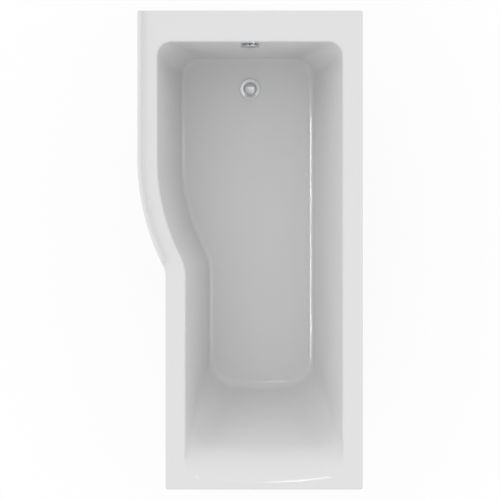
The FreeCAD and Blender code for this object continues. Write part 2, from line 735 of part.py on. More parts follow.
def overflow_body():
    outer = HOUSING_BORE_R + OVERFLOW_WALL
    floor = HOUSING_BACK + OVERFLOW_WALL
    cup = turned([
        (HOUSING_BORE_R, HOUSING_TOP),
        (OVERFLOW_FLANGE_R, HOUSING_TOP),
        (OVERFLOW_FLANGE_R, HOUSING_TOP - OVERFLOW_FLANGE_THICK),
        (outer, HOUSING_TOP - OVERFLOW_FLANGE_THICK),
        (outer, HOUSING_BACK),
        (0, HOUSING_BACK),
        (0, floor),
        (STEM_R + RUN_GAP, floor),
        (STEM_R + RUN_GAP, floor + BEARING_DEPTH),
        (KNOB_BOSS_R, floor + BEARING_DEPTH),
        (KNOB_BOSS_R, floor),
        (HOUSING_BORE_R, floor),
    ])
    inside = on_foot_wall(rod(HOUSING_BORE_R, UP * floor, UP * HOUSING_TOP))
    axis = Vector(OVERFLOW.x, PIPE_Y, OVERFLOW.z)
    mouth = Vector(OVERFLOW.x, PIPE_Y, SPIGOT_MOUTH_Z)
    step = mouth + UP * (OVERFLOW_SPIGOT_REACH - OVERFLOW_WALL)
    gland_axis = axis - Vector(HOUSING_BORE_R - GLAND_R, 0, 0)
    gland_mouth = Vector(gland_axis.x, PIPE_Y, OVERFLOW.z - HOUSING_BORE_R)
    branches = rod(PORT_R, axis, mouth).fuse(rod(GLAND_R, gland_axis, gland_mouth)).cut(inside)
    bores = [
        rod(PIPE_R - PIPE_WALL, axis, mouth),
        rod(PIPE_R + SEAT_GAP, step, mouth),
        rod(GLAND_BORE_R, gland_axis, gland_mouth),
    ]
    return on_foot_wall(cup).fuse(branches).cut(bores)


def overflow_clamp_ring():
    """A ring on the tub's face, with a sleeve through the wall and a hub that guides the spindle."""
    top = SEAT_GAP + CLAMP_RING_THICK
    sleeve_end = HOUSING_TOP - SLEEVE_REACH
    bore = SLEEVE_R - SLEEVE_WALL
    collar = turned([
        (bore, sleeve_end), (SLEEVE_R, sleeve_end), (SLEEVE_R, SEAT_GAP),
        (CLAMP_RING_R, SEAT_GAP), (CLAMP_RING_R, top), (bore, top),
    ])
    hub_top = sleeve_end + HUB_HEIGHT
    hub = rod(HUB_R, UP * sleeve_end, UP * hub_top)
    arms = []
    for step in range(SPIDER_ARMS):
        arm = block(0, SLEEVE_R - SLEEVE_WALL / 2, -SPIDER_ARM / 2, SPIDER_ARM / 2, sleeve_end, hub_top)
        arm.rotate(Vector(), UP, 360 / SPIDER_ARMS * step)
        arms.append(arm)
    guide = rod(STEM_R + RUN_GAP, UP * (sleeve_end - OVERRUN), UP * (hub_top + OVERRUN))
    return on_foot_wall(collar.fuse([hub] + arms).cut(guide))


def overflow_knob():
    """A shallow chrome cap on a boss, open behind so that water runs in round its edge."""
    edge = KNOB_BACK + KNOB_EDGE
    inner_r = KNOB_R - KNOB_WALL
    inner = edge - KNOB_WALL
    outer_middle = crown_middle(KNOB_R, edge, KNOB_CROWN)
    inner_middle = crown_middle(inner_r, inner, KNOB_CROWN)
    cap = turned([
        (inner_r, KNOB_BACK),
        (KNOB_R, KNOB_BACK),
        (KNOB_R, edge),
        (0, edge + KNOB_CROWN) + outer_middle,
        (0, inner + KNOB_CROWN),
        (inner_r, inner) + inner_middle,
    ])
    boss = rod(KNOB_BOSS_R, UP * KNOB_BACK, UP * (inner + KNOB_CROWN))
    notch_at = Vector(0, KNOB_R, 0)
    notch = rod(KNOB_NOTCH_R, notch_at + UP * (KNOB_BACK - OVERRUN), notch_at + UP * (edge + OVERRUN))
    socket = rod(STEM_R + SEAT_GAP, UP * (KNOB_BACK - OVERRUN), UP * edge)
    return on_foot_wall(cap.fuse(boss).cut([notch, socket]))


def knob_spindle():
    """The spindle from the knob to the back of the housing, with the crank that works the lift."""
    top = KNOB_BACK + KNOB_EDGE
    spindle = rod(STEM_R, UP * SPINDLE_END, UP * top)
    crank = rod(CRANK_R, UP * (CRANK_TOP - CRANK_THICK), UP * CRANK_TOP)
    eye_at = Vector((CRANK_R + STEM_R) / 2, 0, CRANK_TOP - CRANK_THICK)
    return on_foot_wall(spindle.fuse(crank.cut(rod(GLAND_BORE_R, eye_at, eye_at + UP * CRANK_THICK))))


# Rigid pipe from the overflow's spigot down, round one bend and level to the waste's side port
PIPE_TOP_Z = SPIGOT_MOUTH_Z + OVERFLOW_SPIGOT_REACH - OVERFLOW_WALL - SEAT_GAP
PIPE_END_Y = PORT_END - PIPE_NUT_HEIGHT + SEAT_GAP


def overflow_pipe():
    def at(y, z):
        return Vector(WASTE.x, y, z)

    centre_y = PIPE_Y - PIPE_BEND
    centre_z = PORT_Z + PIPE_BEND
    slant = PIPE_BEND * math.sqrt(0.5)
    path = Part.Wire([
        Part.LineSegment(at(PIPE_Y, PIPE_TOP_Z), at(PIPE_Y, centre_z)).toShape(),
        Part.Arc(
            at(PIPE_Y, centre_z), at(centre_y + slant, centre_z - slant), at(centre_y, PORT_Z)
        ).toShape(),
        Part.LineSegment(at(centre_y, PORT_Z), at(PIPE_END_Y, PORT_Z)).toShape(),
    ])
    start = at(PIPE_Y, PIPE_TOP_Z)
    return pipe_along(PIPE_R, path, start, UP).cut(pipe_along(PIPE_R - PIPE_WALL, path, start, UP))


def pipe_nut(mouth, direction):
    bore = PORT_R + THREAD_GAP
    start = mouth - direction * (PIPE_NUT_HEIGHT - NUT_LIP - SEAT_GAP)
    return ribbed_nut(bore + NUT_WALL, bore, PIPE_R + THREAD_GAP, PIPE_NUT_HEIGHT, start, direction)


# Board, battens and legs
BOARD_TOP = UNDER_SPACE
BOARD_UNDER = BOARD_TOP - BOARD_THICK
BOARD_X0 = NARROW_X + RIM_SIDE + floor_reach(FRONT_FALL) + BOARD_MARGIN
BOARD_X1 = WALL_X - RIM_SIDE - floor_reach(WALL_FALL) - BOARD_MARGIN
BOARD_Y0 = HEAD_Y + RIM_HEAD + backrest_set(0.0) + BOARD_MARGIN + FLOOR_HEAD_CORNER / 2
BOARD_Y1 = WASTE.y - BOARD_WASTE_GAP
BOARD_MIDDLE_X = (BOARD_X0 + BOARD_X1) / 2
BAR_YS = {"head": BOARD_Y0 + BAR_FROM_BOARD_END, "foot": BOARD_Y1 - BAR_FROM_BOARD_END}
CENTRE_LEG_Y = (BAR_YS["head"] + BAR_YS["foot"]) / 2
LEG_XS = {
    "head": (NARROW_X + LEG_SETBACK, WALL_X - LEG_SETBACK),
    "foot": (FRONT_X + LEG_SETBACK, WALL_X - LEG_SETBACK),
}
BAR_SEAT = BOARD_UNDER - SHEET
BRACKET_SEAT = BOARD_UNDER - BRACKET_DROP
LEGS = {
    f"{end}_{side}_leg": (Vector(x, BAR_YS[end], 0), BAR_SEAT)
    for end in BAR_YS
    for side, x in zip(("front", "wall"), LEG_XS[end])
}
LEGS["centre_leg"] = (Vector(BOARD_MIDDLE_X, CENTRE_LEG_Y, 0), BRACKET_SEAT)
SCREW_XS = [BOARD_X0 + (BOARD_X1 - BOARD_X0) * share for share in BAR_SCREW_SHARES]
BAR_SCREWS = [Vector(x, y, BAR_SEAT) for y in BAR_YS.values() for x in SCREW_XS]
BRACKET_SCREW_X = BRACKET_WIDTH / 2 + BRACKET_FOOT / 2
BRACKET_SCREWS = [
    Vector(BOARD_MIDDLE_X + side * BRACKET_SCREW_X, CENTRE_LEG_Y + end * BRACKET_LENGTH / 4, BAR_SEAT)
    for side in (-1, 1)
    for end in (-1, 1)
]


def screw_holes(screws, depth):
    return [rod(SCREW_R + SEAT_GAP, at - UP * OVERRUN, at + UP * depth) for at in screws]


def screws(places):
    """Pan-head screws driven upwards, each with its head under the sheet it holds."""
    solids = []
    for at in places:
        head = rod(SCREW_HEAD_R, at - UP * SCREW_HEAD, at)
        head = head.makeChamfer(SCREW_HEAD / 2, [head.Edges[-1]])
        solids.append(head.fuse(rod(SCREW_R, at, at + UP * SCREW_LENGTH)))
    return Part.makeCompound(solids)


def baseboard():
    board = block(BOARD_X0, BOARD_X1, BOARD_Y0, BOARD_Y1, BOARD_UNDER, BOARD_TOP)
    upright = [edge for edge in board.Edges if edge.BoundBox.ZLength > BOARD_THICK / 2]
    board = board.makeFillet(BOARD_CORNER, upright)
    return board.cut(screw_holes(BAR_SCREWS + BRACKET_SCREWS, SCREW_LENGTH + SEAT_GAP))


def leg_bar(end):
    """A folded steel channel, open below, across the board with a hole for a leg near each end."""
    first, last = LEG_XS[end]
    y = BAR_YS[end]
    half = BAR_WIDTH / 2
    low = BOARD_UNDER - BAR_HEIGHT
    points = [
        (-half, low), (-half, BOARD_UNDER), (half, BOARD_UNDER), (half, low),
        (half - SHEET, low), (half - SHEET, BAR_SEAT), (SHEET - half, BAR_SEAT), (SHEET - half, low),
    ]
    channel = face_of(points, lambda across, z: Vector(first - BAR_PAST_LEG, y + across, z))
    channel = channel.extrude(Vector(last - first + 2 * BAR_PAST_LEG, 0, 0))
    folds = [
        edge for edge in channel.Edges
        if edge.BoundBox.XLength > BAR_WIDTH and edge.BoundBox.ZMin > BAR_SEAT + SHEET / 2
    ]
    channel = channel.makeFillet(SHEET, folds)
    holes = [leg_hole(Vector(x, y, BAR_SEAT)) for x in (first, last)]
    own_screws = [at for at in BAR_SCREWS if at.y == y]
    return channel.cut(holes + screw_holes(own_screws, OVERRUN))


def leg_hole(at):
    return rod(STUD_R + THREAD_GAP, at - UP * OVERRUN, at + UP * OVERRUN)


def centre_leg_bracket():
    """A folded steel hat with its two feet under the board and the centre leg through its crown."""
    half = BRACKET_WIDTH / 2
    out = half + BRACKET_FOOT
    top = BOARD_UNDER
    low = BRACKET_SEAT
    points = [
        (-out, top), (-half, top), (-half, low + SHEET), (half, low + SHEET), (half, top), (out, top),
        (out, top - SHEET), (half + SHEET, top - SHEET), (half + SHEET, low),
        (-half - SHEET, low), (-half - SHEET, top - SHEET), (-out, top - SHEET),
    ]
    y = CENTRE_LEG_Y - BRACKET_LENGTH / 2
    hat = face_of(points, lambda across, z: Vector(BOARD_MIDDLE_X + across, y, z))
    hat = hat.extrude(Vector(0, BRACKET_LENGTH, 0))
    hole = leg_hole(Vector(BOARD_MIDDLE_X, CENTRE_LEG_Y, low))
    return hat.cut([hole] + screw_holes(BRACKET_SCREWS, OVERRUN))


def leg_stud(at, seat):
    """A threaded stud from its pad up through the sheet at the seat, with spare above the upper nut."""
    bottom = at + UP * (PAD_HEIGHT - PAD_SOCKET)
    top = at + UP * (seat + SHEET + NUT_HEIGHT + LEG_TRAVEL + STUD_SPARE)
    stud = rod(STUD_R, bottom, top)
    rims = [edge for edge in stud.Edges if edge.BoundBox.ZLength < STUD_CHAMFER]
    return stud.makeChamfer(STUD_CHAMFER, rims)


def leg_pad(at):
    socket_r = STUD_R + SEAT_GAP
    socket = PAD_HEIGHT - PAD_SOCKET
    return turned([
        (0, 0), (PAD_R, 0), (PAD_R, PAD_EDGE), (PAD_TOP_R, PAD_HEIGHT),
        (socket_r, PAD_HEIGHT), (socket_r, socket), (0, socket),
    ], at.x, at.y)


def leg_nuts():
    solids = []
    for at, seat in LEGS.values():
        for bottom in (seat - NUT_HEIGHT, seat + SHEET):
            base = at + UP * bottom
            bore = rod(STUD_R + RUN_GAP, base, base + UP * NUT_HEIGHT)
            solids.append(hexagon(NUT_FLATS, NUT_HEIGHT, base).cut(bore))
    return Part.makeCompound(solids)


BATTEN_UNDER = RIM_UNDER - BATTEN_THICK
BATTEN_EDGE = SHELL + BATTEN_GAP
BRACKET_YS = [side * WALL_BRACKET_PITCH / 2 for side in (-1, 1)]
BRACKET_X = WALL_X - BATTEN_EDGE
WALL_SCREWS = [
    Vector(BRACKET_X - BATTEN_WIDTH / 2, y + side * WALL_SCREW_PITCH / 2, BATTEN_UNDER - SHEET)
    for y in BRACKET_YS
    for side in (-1, 1)
]
HOLE_TOP_Z = BATTEN_UNDER - WALL_BRACKET_DROP + WALL_HOLE_EDGE + WALL_HOLE_PITCH


def batten(x0, x1, y0, y1):
    return block(x0, x1, y0, y1, BATTEN_UNDER, RIM_UNDER)


def wall_rim_batten():
    outer = WALL_X - BATTEN_EDGE
    y0 = HEAD_Y + BATTEN_END_GAP
    y1 = FOOT_Y - BATTEN_EDGE - BATTEN_WIDTH - BATTEN_GAP
    holes = screw_holes(WALL_SCREWS, SCREW_LENGTH + SEAT_GAP)
    return batten(outer - BATTEN_WIDTH, outer, y0, y1).cut(holes)


def foot_rim_batten():
    outer = FOOT_Y - BATTEN_EDGE
    return batten(FRONT_X + BATTEN_END_GAP, WALL_X - BATTEN_EDGE, outer - BATTEN_WIDTH, outer)


def shower_rim_batten():
    outer = FRONT_X + BATTEN_EDGE
    y1 = FOOT_Y - BATTEN_EDGE - BATTEN_WIDTH - BATTEN_GAP
    return batten(outer, outer + BATTEN_WIDTH, BOW_CENTRE.y + BATTEN_END_GAP, y1)


def front_rim_batten():
    outer = NARROW_X + BATTEN_EDGE
    return batten(outer, outer + BATTEN_WIDTH, HEAD_Y + BATTEN_END_GAP, BLEND_CENTRE.y - BATTEN_END_GAP)


def wall_bracket(y):
    """A steel strip screwed up into the batten, jogged out under the skirt to lie flat on the wall."""
    inner = BRACKET_X - BATTEN_WIDTH
    bend = RIM_TOP - SKIRT - SKIRT_CLEARANCE
    jog = bend - WALL_BRACKET_JOG
    low = BATTEN_UNDER - WALL_BRACKET_DROP
    points = [
        (inner, BATTEN_UNDER), (BRACKET_X, BATTEN_UNDER), (BRACKET_X, bend), (WALL_X, jog), (WALL_X, low),
        (WALL_X - SHEET, low), (WALL_X - SHEET, jog), (BRACKET_X - SHEET, bend),
        (BRACKET_X - SHEET, BATTEN_UNDER - SHEET), (inner, BATTEN_UNDER - SHEET),
    ]
    strip = face_of(points, lambda x, z: Vector(x, y - WALL_BRACKET_WIDTH / 2, z))
    strip = strip.extrude(Vector(0, WALL_BRACKET_WIDTH, 0))
    holes = []
    for z in (HOLE_TOP_Z, HOLE_TOP_Z - WALL_HOLE_PITCH):
        at = Vector(WALL_X, y, z)
        holes.append(rod(WALL_HOLE_R, at - Vector(OVERRUN, 0, 0), at + Vector(OVERRUN, 0, 0)))
    own_screws = [at for at in WALL_SCREWS if abs(at.y - y) < WALL_SCREW_PITCH]
    return strip.cut(holes + screw_holes(own_screws, OVERRUN))


def save(name, shape):
    shape.exportStep(f"parts/{name}.step")


def main():
    os.makedirs("parts", exist_ok=True)
    save("bath_shell", bath_shell())

    save("baseboard", baseboard())
    save("wall_rim_batten", wall_rim_batten())
    save("foot_rim_batten", foot_rim_batten())
    save("shower_rim_batten", shower_rim_batten())
    save("front_rim_batten", front_rim_batten())
    for end in BAR_YS:
        save(f"{end}_leg_bar", leg_bar(end))
    save("centre_leg_bracket", centre_leg_bracket())
    save("leg_bar_screws", screws(BAR_SCREWS + BRACKET_SCREWS))
    save("leg_nuts", leg_nuts())
    for name, (at, seat) in LEGS.items():
        save(f"{name}_stud", leg_stud(at, seat))
        save(f"{name}_pad", leg_pad(at))
    for name, y in zip(("head", "foot"), BRACKET_YS):
        save(f"{name}_wall_bracket", wall_bracket(y))
    save("wall_bracket_screws", screws(WALL_SCREWS))

    x, y = WASTE.x, WASTE.y
    save("waste_flange", waste_flange())
    save("waste_top_seal", ring(TOP_SEAL_R, WASTE_HOLE_R, TUB_FLOOR, FLANGE_UNDER, x, y))
    save("waste_under_seal", ring(UNDER_SEAL_R, WASTE_HOLE_R, BODY_TOP, UNDER_SPACE, x, y))
    save("waste_body", waste_body())
    save("lever_pin", lever_pin())
    save("lift_lever", lift_lever())
    save("plug_cap", plug_cap())
    save("plug_seal", plug_seal())
    save("plug_stem", plug_stem())
    save("trap_body", trap_body())
    save("trap_washer", trap_washer())
    save("trap_union_nut", trap_union_nut())
    save("outlet_seal", outlet_seal())
    save("outlet_nut", outlet_nut())

    save("overflow_seal", overflow_seal())
    save("overflow_body", overflow_body())
    save("overflow_clamp_ring", overflow_clamp_ring())
    save("overflow_knob", overflow_knob())
    save("knob_spindle", knob_spindle())
    save("overflow_pipe", overflow_pipe())
    save("pipe_top_nut", pipe_nut(Vector(x, PIPE_Y, SPIGOT_MOUTH_Z), -UP))
    save("pipe_end_nut", pipe_nut(Vector(x, PORT_END, PORT_Z), Vector(0, 1, 0)))


main()
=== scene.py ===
# %% [markdown]
# # A P-shaped shower bath
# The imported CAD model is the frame: it says where every piece is, and nothing here moves it. This lesson gives
# the bath its looks. The moulded tub is modelled again with finer roundings than the CAD mesh has, the small
# hardware gets its threads and recesses, and every surface gets a finish made of nodes.

# %% Load the frame
import json
import math

import bmesh
import bpy
from mathutils import Matrix, Vector


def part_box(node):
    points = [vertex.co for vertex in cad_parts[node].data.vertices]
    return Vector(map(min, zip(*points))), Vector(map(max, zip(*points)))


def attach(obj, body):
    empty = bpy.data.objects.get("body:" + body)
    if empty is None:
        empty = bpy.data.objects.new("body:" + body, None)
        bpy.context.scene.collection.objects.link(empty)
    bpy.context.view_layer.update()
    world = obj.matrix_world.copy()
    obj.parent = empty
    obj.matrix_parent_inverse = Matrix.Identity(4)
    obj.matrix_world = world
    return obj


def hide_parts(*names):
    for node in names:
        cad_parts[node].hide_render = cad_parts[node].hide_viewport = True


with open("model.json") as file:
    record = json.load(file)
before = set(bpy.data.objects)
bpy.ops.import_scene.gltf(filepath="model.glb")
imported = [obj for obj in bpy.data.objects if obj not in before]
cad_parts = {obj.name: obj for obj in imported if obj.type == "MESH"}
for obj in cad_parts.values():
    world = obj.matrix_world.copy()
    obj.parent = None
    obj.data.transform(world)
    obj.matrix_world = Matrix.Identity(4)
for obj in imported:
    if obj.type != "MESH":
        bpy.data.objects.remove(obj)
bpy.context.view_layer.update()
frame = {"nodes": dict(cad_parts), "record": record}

# %% [markdown]
# ## Camera
# The photograph looks straight down with almost no perspective, so the camera is far away with a long lens.
# At the rim's height the square picture is 1.774 m wide, which is 3.548 mm a pixel.

# %% Camera above the rim
MM = 0.001
RIM_TOP = 556.0
PICTURE_WIDTH = 1774.0
CAMERA_HEIGHT = 60000.0
SENSOR = 36.0

eye = bpy.data.cameras.new("plan_camera")
eye.sensor_width = SENSOR
eye.lens = SENSOR * CAMERA_HEIGHT / PICTURE_WIDTH
eye.clip_end = 200.0  # metres, past the floor
camera = bpy.data.objects.new("plan_camera", eye)
camera.location = (0.0, 0.0, (RIM_TOP + CAMERA_HEIGHT) * MM)
bpy.context.scene.collection.objects.link(camera)
bpy.context.scene.camera = camera
bpy.context.scene.view_settings.view_transform = "Standard"
print("lens", round(eye.lens), "mm")

# %% [markdown]
# ## Helpers for finishes
# A colour is written as the hex value a paint program shows, and one function makes it linear for the shader.
# One small function adds a node, with its settings, values and links. A pattern's scale is how many of its spots
# fit in a metre, so it is worked out from the size of a spot in millimetres.

# %% Colour and node helpers
def linear(hex_colour):
    channels = [int(hex_colour[k:k + 2], 16) / 255 for k in (0, 2, 4)]
    return [c / 12.92 if c <= 0.04045 else ((c + 0.055) / 1.055) ** 2.4 for c in channels] + [1.0]


def add_node(tree, kind, inputs=None, **settings):
    made = tree.nodes.new(kind)
    for name, value in settings.items():
        setattr(made, name, value)
    for socket, value in (inputs or {}).items():
        if isinstance(value, bpy.types.NodeSocket):
            tree.links.new(value, made.inputs[socket])
        else:
            made.inputs[socket].default_value = value
    return made


def new_finish(name):
    finish = bpy.data.materials.new(name)
    finish.use_nodes = True
    finish.node_tree.nodes.clear()
    return finish, finish.node_tree


def per_metre(size_mm):
    return 1 / (size_mm * MM)


print("white is", linear("FFFFFF"), "and a spot of 5 mm has the scale", per_metre(5.0))

# %% [markdown]
# ## Sanitary acrylic
# A cast acrylic sheet, formed hot into the tub: opaque white, glossy, with an IOR of 1.49. Forming leaves the
# faintest ripple, a few centimetres long, and cleaning leaves patches that are a little less glossy.

# %% White acrylic
GLOSS_PATCH, RIPPLE, RIPPLE_HEIGHT = 110.0, 45.0, 1.0
acrylic, tree = new_finish("white_sanitary_acrylic")
place = add_node(tree, "ShaderNodeTexCoord").outputs["Object"]
patches = add_node(tree, "ShaderNodeTexNoise", {"Vector": place, "Scale": per_metre(GLOSS_PATCH), "Detail": 4.0})
gloss = add_node(tree, "ShaderNodeMapRange", {"Value": patches.outputs["Fac"], "To Min": 0.04, "To Max": 0.09})
ripple = add_node(tree, "ShaderNodeTexNoise", {"Vector": place, "Scale": per_metre(RIPPLE), "Detail": 1.0})
bump = add_node(tree, "ShaderNodeBump", {
    "Height": ripple.outputs["Fac"], "Strength": 0.02, "Distance": RIPPLE_HEIGHT * MM,
})
tint = add_node(tree, "ShaderNodeMix", {
    "Factor": patches.outputs["Fac"], "A": linear("E1E2E2"), "B": linear("E5E4E4"),
}, data_type="RGBA")
body = add_node(tree, "ShaderNodeBsdfPrincipled", {
    "Base Color": tint.outputs[2], "IOR": 1.49, "Roughness": gloss.outputs["Result"],
    "Normal": bump.outputs["Normal"],
})
add_node(tree, "ShaderNodeOutputMaterial", {"Surface": body.outputs["BSDF"]})
print(acrylic.name, "has a ripple of", RIPPLE, "mm")

# %% [markdown]
# ## Glass fibre backing
# The back of the acrylic is sprayed with polyester resin and chopped glass strands, about 50 mm long, which
# show as pale streaks in a cream coat that is rough to the touch. The strands lie flat on whatever they hit, so
# each of the three planes gets its own set, in three directions, and the face's normal picks the plane.

# %% Glass fibre
STRAND_LENGTH, STRAND_WIDTH, RESIN_PATCH, RELIEF = 50.0, 2.4, 33.0, 0.8
STRAND_TURNS = (0.3, 1.3, 2.4)
glass_fibre, tree = new_finish("glass_fibre_backing")
place = add_node(tree, "ShaderNodeTexCoord").outputs["Object"]
facing = add_node(tree, "ShaderNodeNewGeometry").outputs["Normal"]
facing = add_node(tree, "ShaderNodeVectorMath", {0: facing, 1: facing}, operation="MULTIPLY").outputs["Vector"]
facing = add_node(tree, "ShaderNodeSeparateXYZ", {"Vector": facing})
strands = 0.0
for plane in range(3):
    size = [STRAND_WIDTH * MM] * 3
    size[(plane + 1) % 3] = STRAND_LENGTH * MM
    laid = 0.0
    for turn in STRAND_TURNS:
        turns = [0.0] * 3
        turns[plane] = turn
        along = add_node(tree, "ShaderNodeMapping", {
            "Vector": place, "Rotation": turns, "Scale": size,
        }, vector_type="TEXTURE")
        streak = add_node(tree, "ShaderNodeTexNoise", {
            "Vector": along.outputs["Vector"], "Scale": 1.0, "Detail": 1.0,
        })
        sharp = add_node(tree, "ShaderNodeMapRange", {
            "Value": streak.outputs["Fac"], "From Min": 0.58, "From Max": 0.7,
        })
        laid = add_node(tree, "ShaderNodeMath", {0: laid, 1: sharp.outputs["Result"]}, operation="MAXIMUM")
        laid = laid.outputs["Value"]
    strands = add_node(tree, "ShaderNodeMath", {
        0: laid, 1: facing.outputs[plane], 2: strands,
    }, operation="MULTIPLY_ADD").outputs["Value"]
coat = add_node(tree, "ShaderNodeTexNoise", {"Vector": place, "Scale": per_metre(RESIN_PATCH), "Detail": 5.0})
resin = add_node(tree, "ShaderNodeMix", {
    "Factor": coat.outputs["Fac"], "A": linear("CFC7B0"), "B": linear("DDD7C6"),
}, data_type="RGBA")
colour = add_node(tree, "ShaderNodeMix", {
    "Factor": strands, "A": resin.outputs[2], "B": linear("EDEAE0"),
}, data_type="RGBA")
relief = add_node(tree, "ShaderNodeMath", {0: strands, 1: coat.outputs["Fac"]}, operation="ADD")
bump = add_node(tree, "ShaderNodeBump", {
    "Height": relief.outputs["Value"], "Strength": 0.5, "Distance": RELIEF * MM,
})
body = add_node(tree, "ShaderNodeBsdfPrincipled", {
    "Base Color": colour.outputs[2], "IOR": 1.54, "Roughness": 0.5, "Normal": bump.outputs["Normal"],
})
add_node(tree, "ShaderNodeOutputMaterial", {"Surface": body.outputs["BSDF"]})
print(glass_fibre.name, "has strands of", STRAND_LENGTH, "by", STRAND_WIDTH, "mm")

# %% [markdown]
# ## Chrome plate
# Polished brass with nickel and chrome on it: a bright mirror, a little blue, with hairlines from cleaning that
# only show as a slight change of gloss. Real ones are finer than a pixel, so they are drawn 3.8 mm apart.

# %% Chrome
HAIRLINE = 3.8
chrome, tree = new_finish("chrome_plate")
place = add_node(tree, "ShaderNodeTexCoord").outputs["Object"]
hairlines = add_node(tree, "ShaderNodeTexNoise", {"Vector": place, "Scale": per_metre(HAIRLINE), "Detail": 3.0})
gloss = add_node(tree, "ShaderNodeMapRange", {"Value": hairlines.outputs["Fac"], "To Min": 0.04, "To Max": 0.09})
body = add_node(tree, "ShaderNodeBsdfPrincipled", {
    "Base Color": linear("D2D4D6"), "Metallic": 1.0, "Roughness": gloss.outputs["Result"],
})
add_node(tree, "ShaderNodeOutputMaterial", {"Surface": body.outputs["BSDF"]})
print(chrome.name, "has hairlines", HAIRLINE, "mm apart")

# %% [markdown]
# ## Moulded plastics and rubber
# The waste and the trap are moulded polypropylene: white, waxy, with a fine spark-eroded grain. The leg pads are
# black polyamide with a coarser grain. The seals are black nitrile rubber, dull and a little dusty. The grains are
# drawn 1 to 2 mm across, coarser than real ones, so that they show.

# %% Plastics and rubber
CLOUD = 25.0


def moulded(name, low, high, roughness, grain_mm, depth_mm):
    finish, tree = new_finish(name)
    place = add_node(tree, "ShaderNodeTexCoord").outputs["Object"]
    cloud = add_node(tree, "ShaderNodeTexNoise", {"Vector": place, "Scale": per_metre(CLOUD), "Detail": 3.0})
    colour = add_node(tree, "ShaderNodeMix", {
        "Factor": cloud.outputs["Fac"], "A": linear(low), "B": linear(high),
    }, data_type="RGBA")
    grain = add_node(tree, "ShaderNodeTexNoise", {"Vector": place, "Scale": per_metre(grain_mm), "Detail": 2.0})
    bump = add_node(tree, "ShaderNodeBump", {
        "Height": grain.outputs["Fac"], "Strength": 0.4, "Distance": depth_mm * MM,
    })
    body = add_node(tree, "ShaderNodeBsdfPrincipled", {
        "Base Color": colour.outputs[2], "IOR": 1.49, "Roughness": roughness, "Normal": bump.outputs["Normal"],
    })
    add_node(tree, "ShaderNodeOutputMaterial", {"Surface": body.outputs["BSDF"]})
    return finish


polypropylene = moulded("white_polypropylene", "DEDCD4", "E8E7E1", 0.42, 1.2, 0.15)
polyamide = moulded("black_polyamide", "141414", "1E1E1E", 0.55, 2.0, 0.3)
nitrile = moulded("black_nitrile_rubber", "161616", "242423", 0.75, 1.5, 0.2)
print("moulded:", polypropylene.name, polyamide.name, nitrile.name)

# %% [markdown]
# ## Zinc-plated steel
# The leg bars, studs and screws are steel with bright zinc on it: a grey metal with soft patches, a few
# millimetres across, where the zinc crystals catch the light differently.

# %% Zinc
CRYSTAL, MIST = 6.25, 28.5
zinc, tree = new_finish("zinc_plated_steel")
place = add_node(tree, "ShaderNodeTexCoord").outputs["Object"]
crystals = add_node(tree, "ShaderNodeTexVoronoi", {"Vector": place, "Scale": per_metre(CRYSTAL)})
mist = add_node(tree, "ShaderNodeTexNoise", {"Vector": place, "Scale": per_metre(MIST), "Detail": 4.0})
patch = add_node(tree, "ShaderNodeSeparateColor", {"Color": crystals.outputs["Color"]})
blend = add_node(tree, "ShaderNodeMath", {0: patch.outputs["Red"], 1: mist.outputs["Fac"]}, operation="MULTIPLY")
colour = add_node(tree, "ShaderNodeMix", {
    "Factor": blend.outputs["Value"], "A": linear("A9AEB3"), "B": linear("CBCFD3"),
}, data_type="RGBA")
gloss = add_node(tree, "ShaderNodeMapRange", {"Value": blend.outputs["Value"], "To Min": 0.42, "To Max": 0.24})
body = add_node(tree, "ShaderNodeBsdfPrincipled", {
    "Base Color": colour.outputs[2], "Metallic": 1.0, "Roughness": gloss.outputs["Result"],
})
add_node(tree, "ShaderNodeOutputMaterial", {"Surface": body.outputs["BSDF"]})
print(zinc.name, "has crystals of", CRYSTAL, "mm")

# %% [markdown]
# ## Chipboard and softwood
# The board under the tub is pressed wood chips, 3 to 8 mm long, in browns. The battens are planed softwood with
# growth rings a few millimetres apart, which run along each batten.

# %% Chipboard
CHIP, FLAKE_HEIGHT = (6.7, 3.85, 2.4), 0.3
chipboard, tree = new_finish("raw_chipboard")
place = add_node(tree, "ShaderNodeTexCoord").outputs["Object"]
flat = add_node(tree, "ShaderNodeMapping", {"Vector": place, "Scale": [per_metre(side) for side in CHIP]})
chips = add_node(tree, "ShaderNodeTexVoronoi", {"Vector": flat.outputs["Vector"], "Scale": 1.0})
shade = add_node(tree, "ShaderNodeSeparateColor", {"Color": chips.outputs["Color"]})
colour = add_node(tree, "ShaderNodeMix", {
    "Factor": shade.outputs["Red"], "A": linear("A67C4B"), "B": linear("D9BC8A"),
}, data_type="RGBA")
bump = add_node(tree, "ShaderNodeBump", {
    "Height": shade.outputs["Green"], "Strength": 0.5, "Distance": FLAKE_HEIGHT * MM,
})
body = add_node(tree, "ShaderNodeBsdfPrincipled", {
    "Base Color": colour.outputs[2], "Roughness": 0.85, "Normal": bump.outputs["Normal"],
})
add_node(tree, "ShaderNodeOutputMaterial", {"Surface": body.outputs["BSDF"]})
print(chipboard.name, "has chips of", CHIP, "mm")

# %% Softwood, once for battens along Y and once for battens along X
# At a scale of 1, the bands of a wave texture repeat 20 / (2 pi) times in each cell of the grain.
GRAIN, RING, RING_HEIGHT = (16.7, 333.0, 16.7), 4.77, 0.3
RING_SCALE = GRAIN[0] / RING * 2 * math.pi / 20


